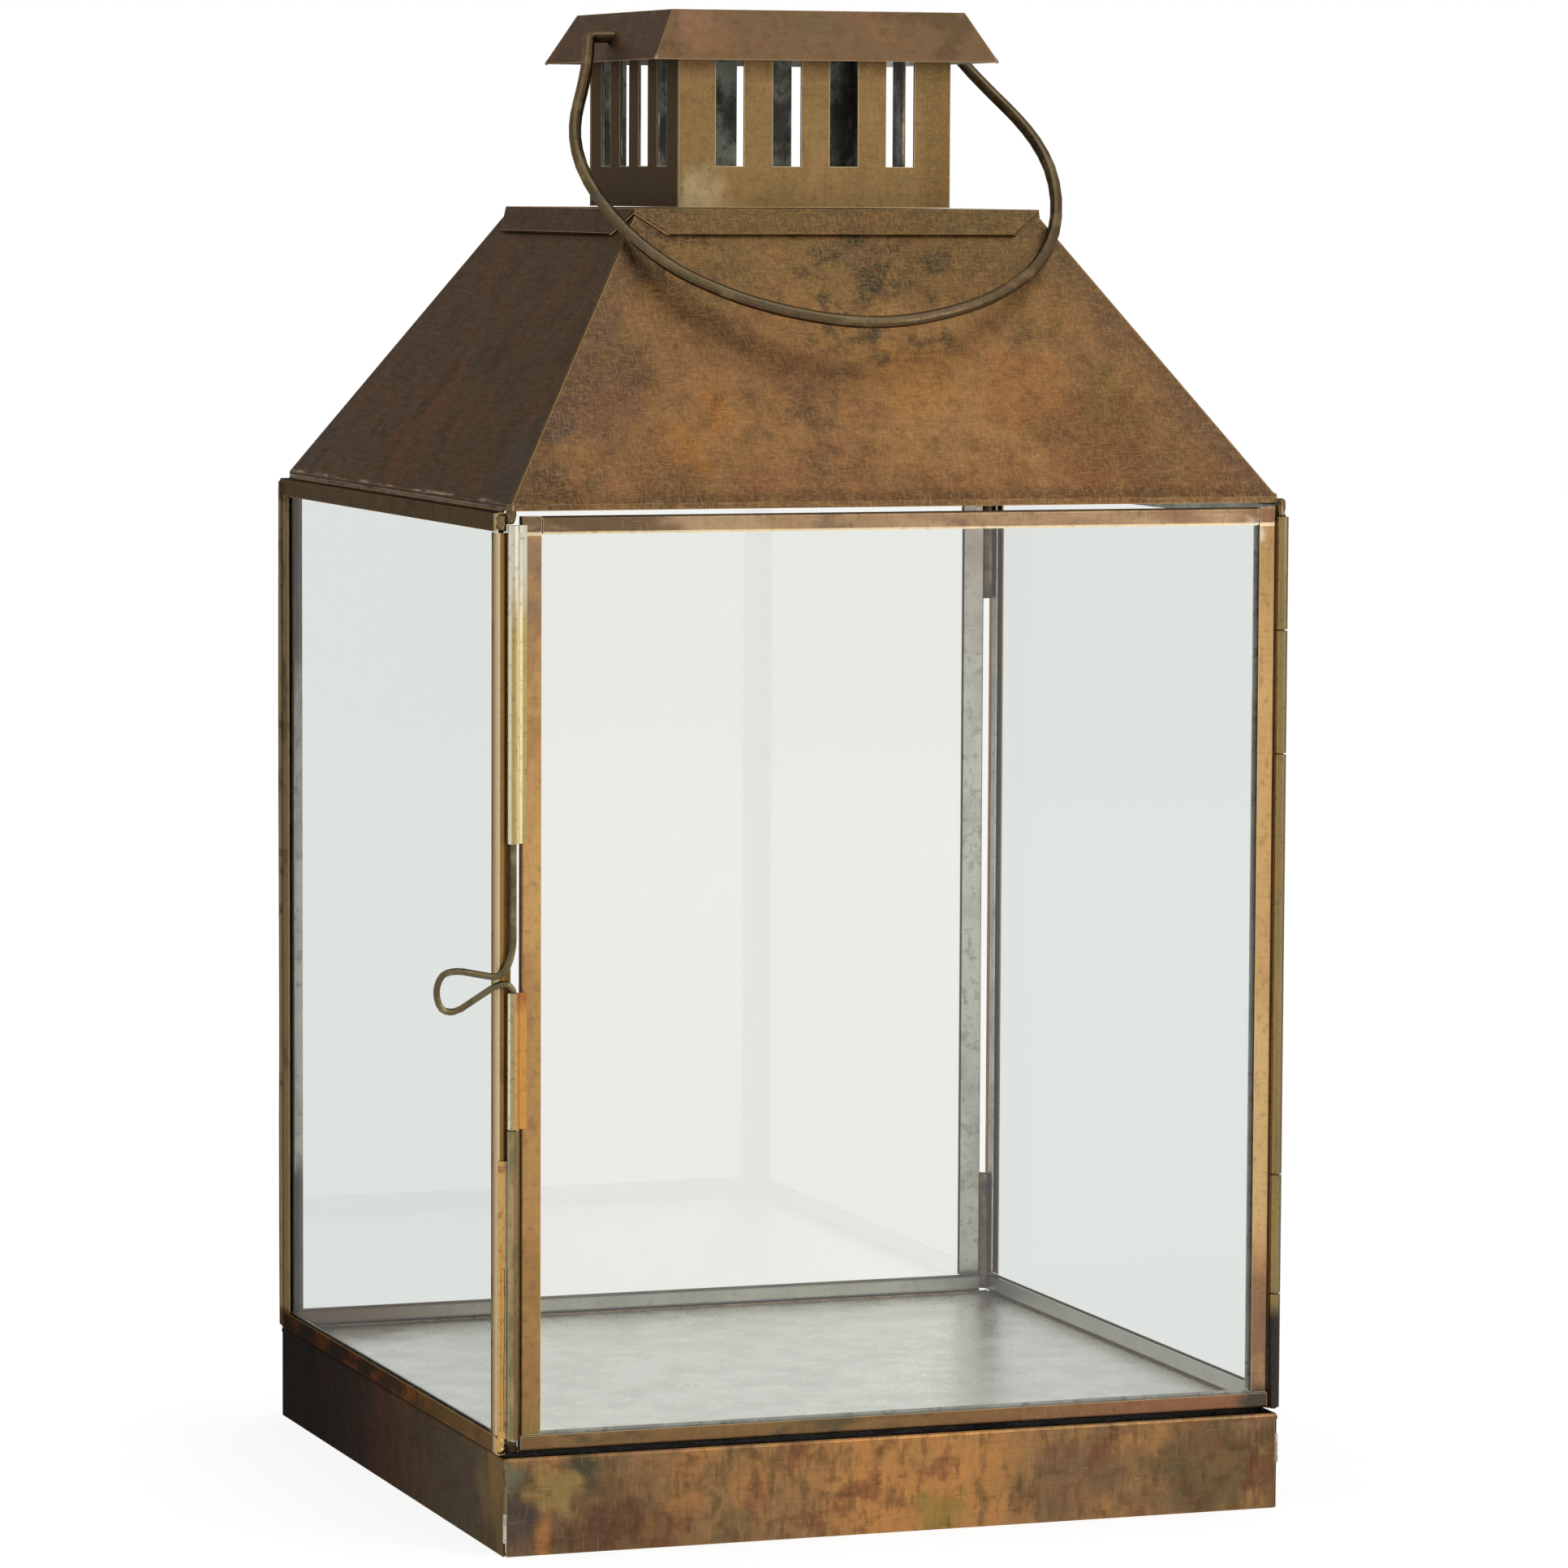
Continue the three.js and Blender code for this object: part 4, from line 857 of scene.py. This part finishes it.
# Solder runs along joints: name, lower and upper end in mm from the pan's middle, width in mm, and
# finish.
SOLDER_RUNS = [
    ("back_right_seam_top", (106.95, 105.65, 235.5), (106.95, 105.65, 272.4), 3.5, browned),
    ("back_right_seam_foot", (106.95, 105.65, 27.4), (106.95, 105.65, 62.4), 3.5, browned),
    ("back_left_seam", (-111.0, 105.7, 27.2), (-111.0, 105.7, 272.8), 1.8, frame_finish),
    ("latch_leaf_solder", (-109.7, -107.55, 33), (-109.6, -107.55, 76), 1.0, as_tube),
    ("latch_tube_foot_solder", (-107.2, -107.7, 30.0), (-107.1, -107.8, 33.2), 2.6, grey),
    ("latch_corner_foot_solder", (-107.2, -106.4, 27.0), (-107.2, -106.4, 31.0), 3.8, black),
    ("frame_foot_solder_left", (-109.9, -106.5, 27.2), (-109.9, -106.5, 31.4), 2.7, as_tube),
    ("frame_head_solder_left", (-109.9, -106.5, 268.8), (-109.9, -106.5, 273.0), 2.7, browned),
    ("latch_corner_head_solder", (-107.6, -106.7, 270.4), (-107.3, -106.9, 275.8), 2.6, browned),
    ("plinth_seam_solder_low", (-109.6, -109.6, 3.6), (-109.6, -109.6, 11.5), 1.1, grey),
    ("plinth_seam_solder_high", (-109.5, -109.5, 11.0), (-109.5, -109.5, 25.2), 1.0, browned),
    ("plinth_seam_solder_right", (109.8, -109.7, 12.5), (109.8, -109.7, 20.5), 0.9, grey),
    ("eave_corner_solder_right", (107.7, -107.5, 273.4), (107.3, -107.1, 276.2), 1.3, browned),
    ("frame_corner_solder_right", (110.1, -105.4, 267.6), (110.2, -104.9, 274.6), 2.7, browned),
    ("eave_joint_solder_left", (-108.7, -104.5, 273.65), (-108.7, 104.0, 273.65), 0.9, browned),
    ("eave_joint_solder_right", (108.7, -103.0, 273.65), (108.7, 104.0, 273.65), 0.9, browned),
    ("eave_joint_solder_back", (-107.5, 104.5, 273.65), (104.5, 104.5, 273.65), 0.9, browned),
    ("rail_foot_solder_left", (-108.4, -102.0, 26.4), (-108.4, 103.5, 26.4), 0.8, browned),
    ("rail_foot_solder_right", (108.4, -101.0, 26.4), (108.4, 103.5, 26.4), 0.8, browned),
    ("rail_foot_solder_back", (-107.8, 104.2, 26.4), (107.8, 104.2, 26.4), 0.8, browned),
]
SOLDER_RUNS += [
    (f"cap_corner_solder_{place}", (x, y, 391.6), (0.985 * x, 0.985 * y, 393.0), 1.0, grey)
    for place, x, y in (
        ("front_left", -49.2, -49.2),
        ("front_right", 49.2, -49.2),
        ("back_right", 49.2, 49.2),
        ("back_left", -49.2, 49.2),
    )
]
RIPPLE_SIZE = 2.2 * MM
# Shares of a bead's width: how far its ends are rounded, and how deep its skin ripples.
END_ROUNDING = 0.3
RIPPLE_DEPTH = 0.35
ripple = bpy.data.textures.new("solder_ripple", "CLOUDS")
ripple.noise_scale = RIPPLE_SIZE


def solder_run(name, lower, upper, width, finish):
    """A bead of solder from lower to upper, with rounded ends and an uneven, rippled skin."""
    lower = Vector(lower) * MM + Vector((MIDDLE_X, 0, 0))
    upper = Vector(upper) * MM + Vector((MIDDLE_X, 0, 0))
    run = upper - lower
    bpy.ops.object.select_all(action="DESELECT")
    bpy.ops.mesh.primitive_cylinder_add(
        vertices=12,
        radius=width * MM / 2,
        depth=run.length,
        location=(lower + upper) / 2,
        rotation=run.to_track_quat("Z", "Y").to_euler(),
    )
    bead = bpy.context.object
    bead.name = name
    bevel = bead.modifiers.new("rounded_ends", "BEVEL")
    bevel.width = width * MM * END_ROUNDING
    bevel.segments = 3
    fine = bead.modifiers.new("fine", "SUBSURF")
    fine.subdivision_type = "SIMPLE"
    fine.levels = fine.render_levels = 3
    skin = bead.modifiers.new("rippled_skin", "DISPLACE")
    skin.texture = ripple
    skin.texture_coords = "GLOBAL"
    skin.strength = width * MM * RIPPLE_DEPTH
    even = bead.modifiers.new("melted", "SMOOTH")
    even.iterations = 2
    for modifier in list(bead.modifiers):
        bpy.ops.object.modifier_apply(modifier=modifier.name)
    bpy.ops.object.transform_apply(location=True, rotation=True, scale=True)
    bpy.ops.object.shade_smooth()
    bead.data.materials.append(finish)
    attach(bead, "lantern")


for run in SOLDER_RUNS:
    solder_run(*run)


# The camera stands where the photograph was taken, front left and just above the lantern's middle.
CAMERA_PLACE = (-0.6226, -1.8029, 0.3592)
CAMERA_TURN = math.radians(19.452)
CAMERA_DIP = math.radians(5.024)
CAMERA_ROLL = math.radians(0.266)
IMAGE_WIDTH = 1932
FOCAL_PIXELS = 8447
SENSOR_WIDTH = 36
camera_data = bpy.data.cameras.new("photo_camera")
camera_data.sensor_width = SENSOR_WIDTH
camera_data.lens = SENSOR_WIDTH * FOCAL_PIXELS / IMAGE_WIDTH
camera = bpy.data.objects.new("photo_camera", camera_data)
camera.matrix_world = (
    Matrix.Translation(CAMERA_PLACE)
    @ Matrix.Rotation(-CAMERA_TURN, 4, "Z")
    @ Matrix.Rotation(math.radians(90) - CAMERA_DIP, 4, "X")
    @ Matrix.Rotation(CAMERA_ROLL, 4, "Z")
)
bpy.context.scene.collection.objects.link(camera)
bpy.context.scene.camera = camera


# Studio: a white room for the camera, the metal and the glass, and a dimmer one for the light.
WORLD_LIGHT = 0.6
# What the paper gives off where it is seen, which brings it to white outside the shadow.
FLOOR_GLOW = 0.82
FLOOR_RADIUS = 6


def seen_straight(tree):
    """1 for the camera's rays and those that metal and glass send on, and 0 for the rest."""
    rays = add(tree, "LightPath").outputs
    return either(tree, rays["Is Camera Ray"], rays["Is Glossy Ray"], rays["Is Transmission Ray"])


def studio_world():
    world = bpy.data.worlds.new("studio")
    bpy.context.scene.world = world
    world.use_nodes = True
    tree = world.node_tree
    tree.nodes.clear()
    strength = add(
        tree, "MapRange", {"Value": seen_straight(tree), "To Min": WORLD_LIGHT, "To Max": 1.0}
    )
    light = add(tree, "Background", {"Color": (1, 1, 1, 1), "Strength": strength.outputs[0]})
    add(tree, "OutputWorld", {"Surface": light.outputs[0]})


def studio_floor():
    bpy.ops.object.select_all(action="DESELECT")
    bpy.ops.mesh.primitive_circle_add(
        vertices=96, radius=FLOOR_RADIUS, fill_type="NGON", location=(0, 0, 0)
    )
    floor = bpy.context.object
    floor.name = "studio_floor"
    material, tree = new_material("white_paper_sweep")
    glow = add(tree, "Math", {0: seen_straight(tree), 1: FLOOR_GLOW}, operation="MULTIPLY")
    paper = add(tree, "BsdfDiffuse", {"Color": rgb("#9A9A98")})
    own = add(tree, "Emission", {"Color": (1, 1, 1, 1), "Strength": glow.outputs[0]})
    total = add(tree, "AddShader")
    tree.links.new(paper.outputs[0], total.inputs[0])
    tree.links.new(own.outputs[0], total.inputs[1])
    add(tree, "OutputMaterial", {"Surface": total.outputs[0]})
    floor.data.materials.append(material)


def studio_lamp(name, place, aim, size, watts):
    data = bpy.data.lights.new(name, "AREA")
    data.shape = "SQUARE"
    data.size = size
    data.energy = watts
    lamp = bpy.data.objects.new(name, data)
    lamp.location = place
    lamp.rotation_euler = (Vector(aim) - Vector(place)).to_track_quat("-Z", "Y").to_euler()
    bpy.context.scene.collection.objects.link(lamp)


studio_world()
studio_floor()
studio_lamp("key_softbox", place=(1.3, -1.7, 0.8), aim=(0, 0, 0.22), size=1.0, watts=12)
bpy.context.scene.view_settings.view_transform = "Standard"
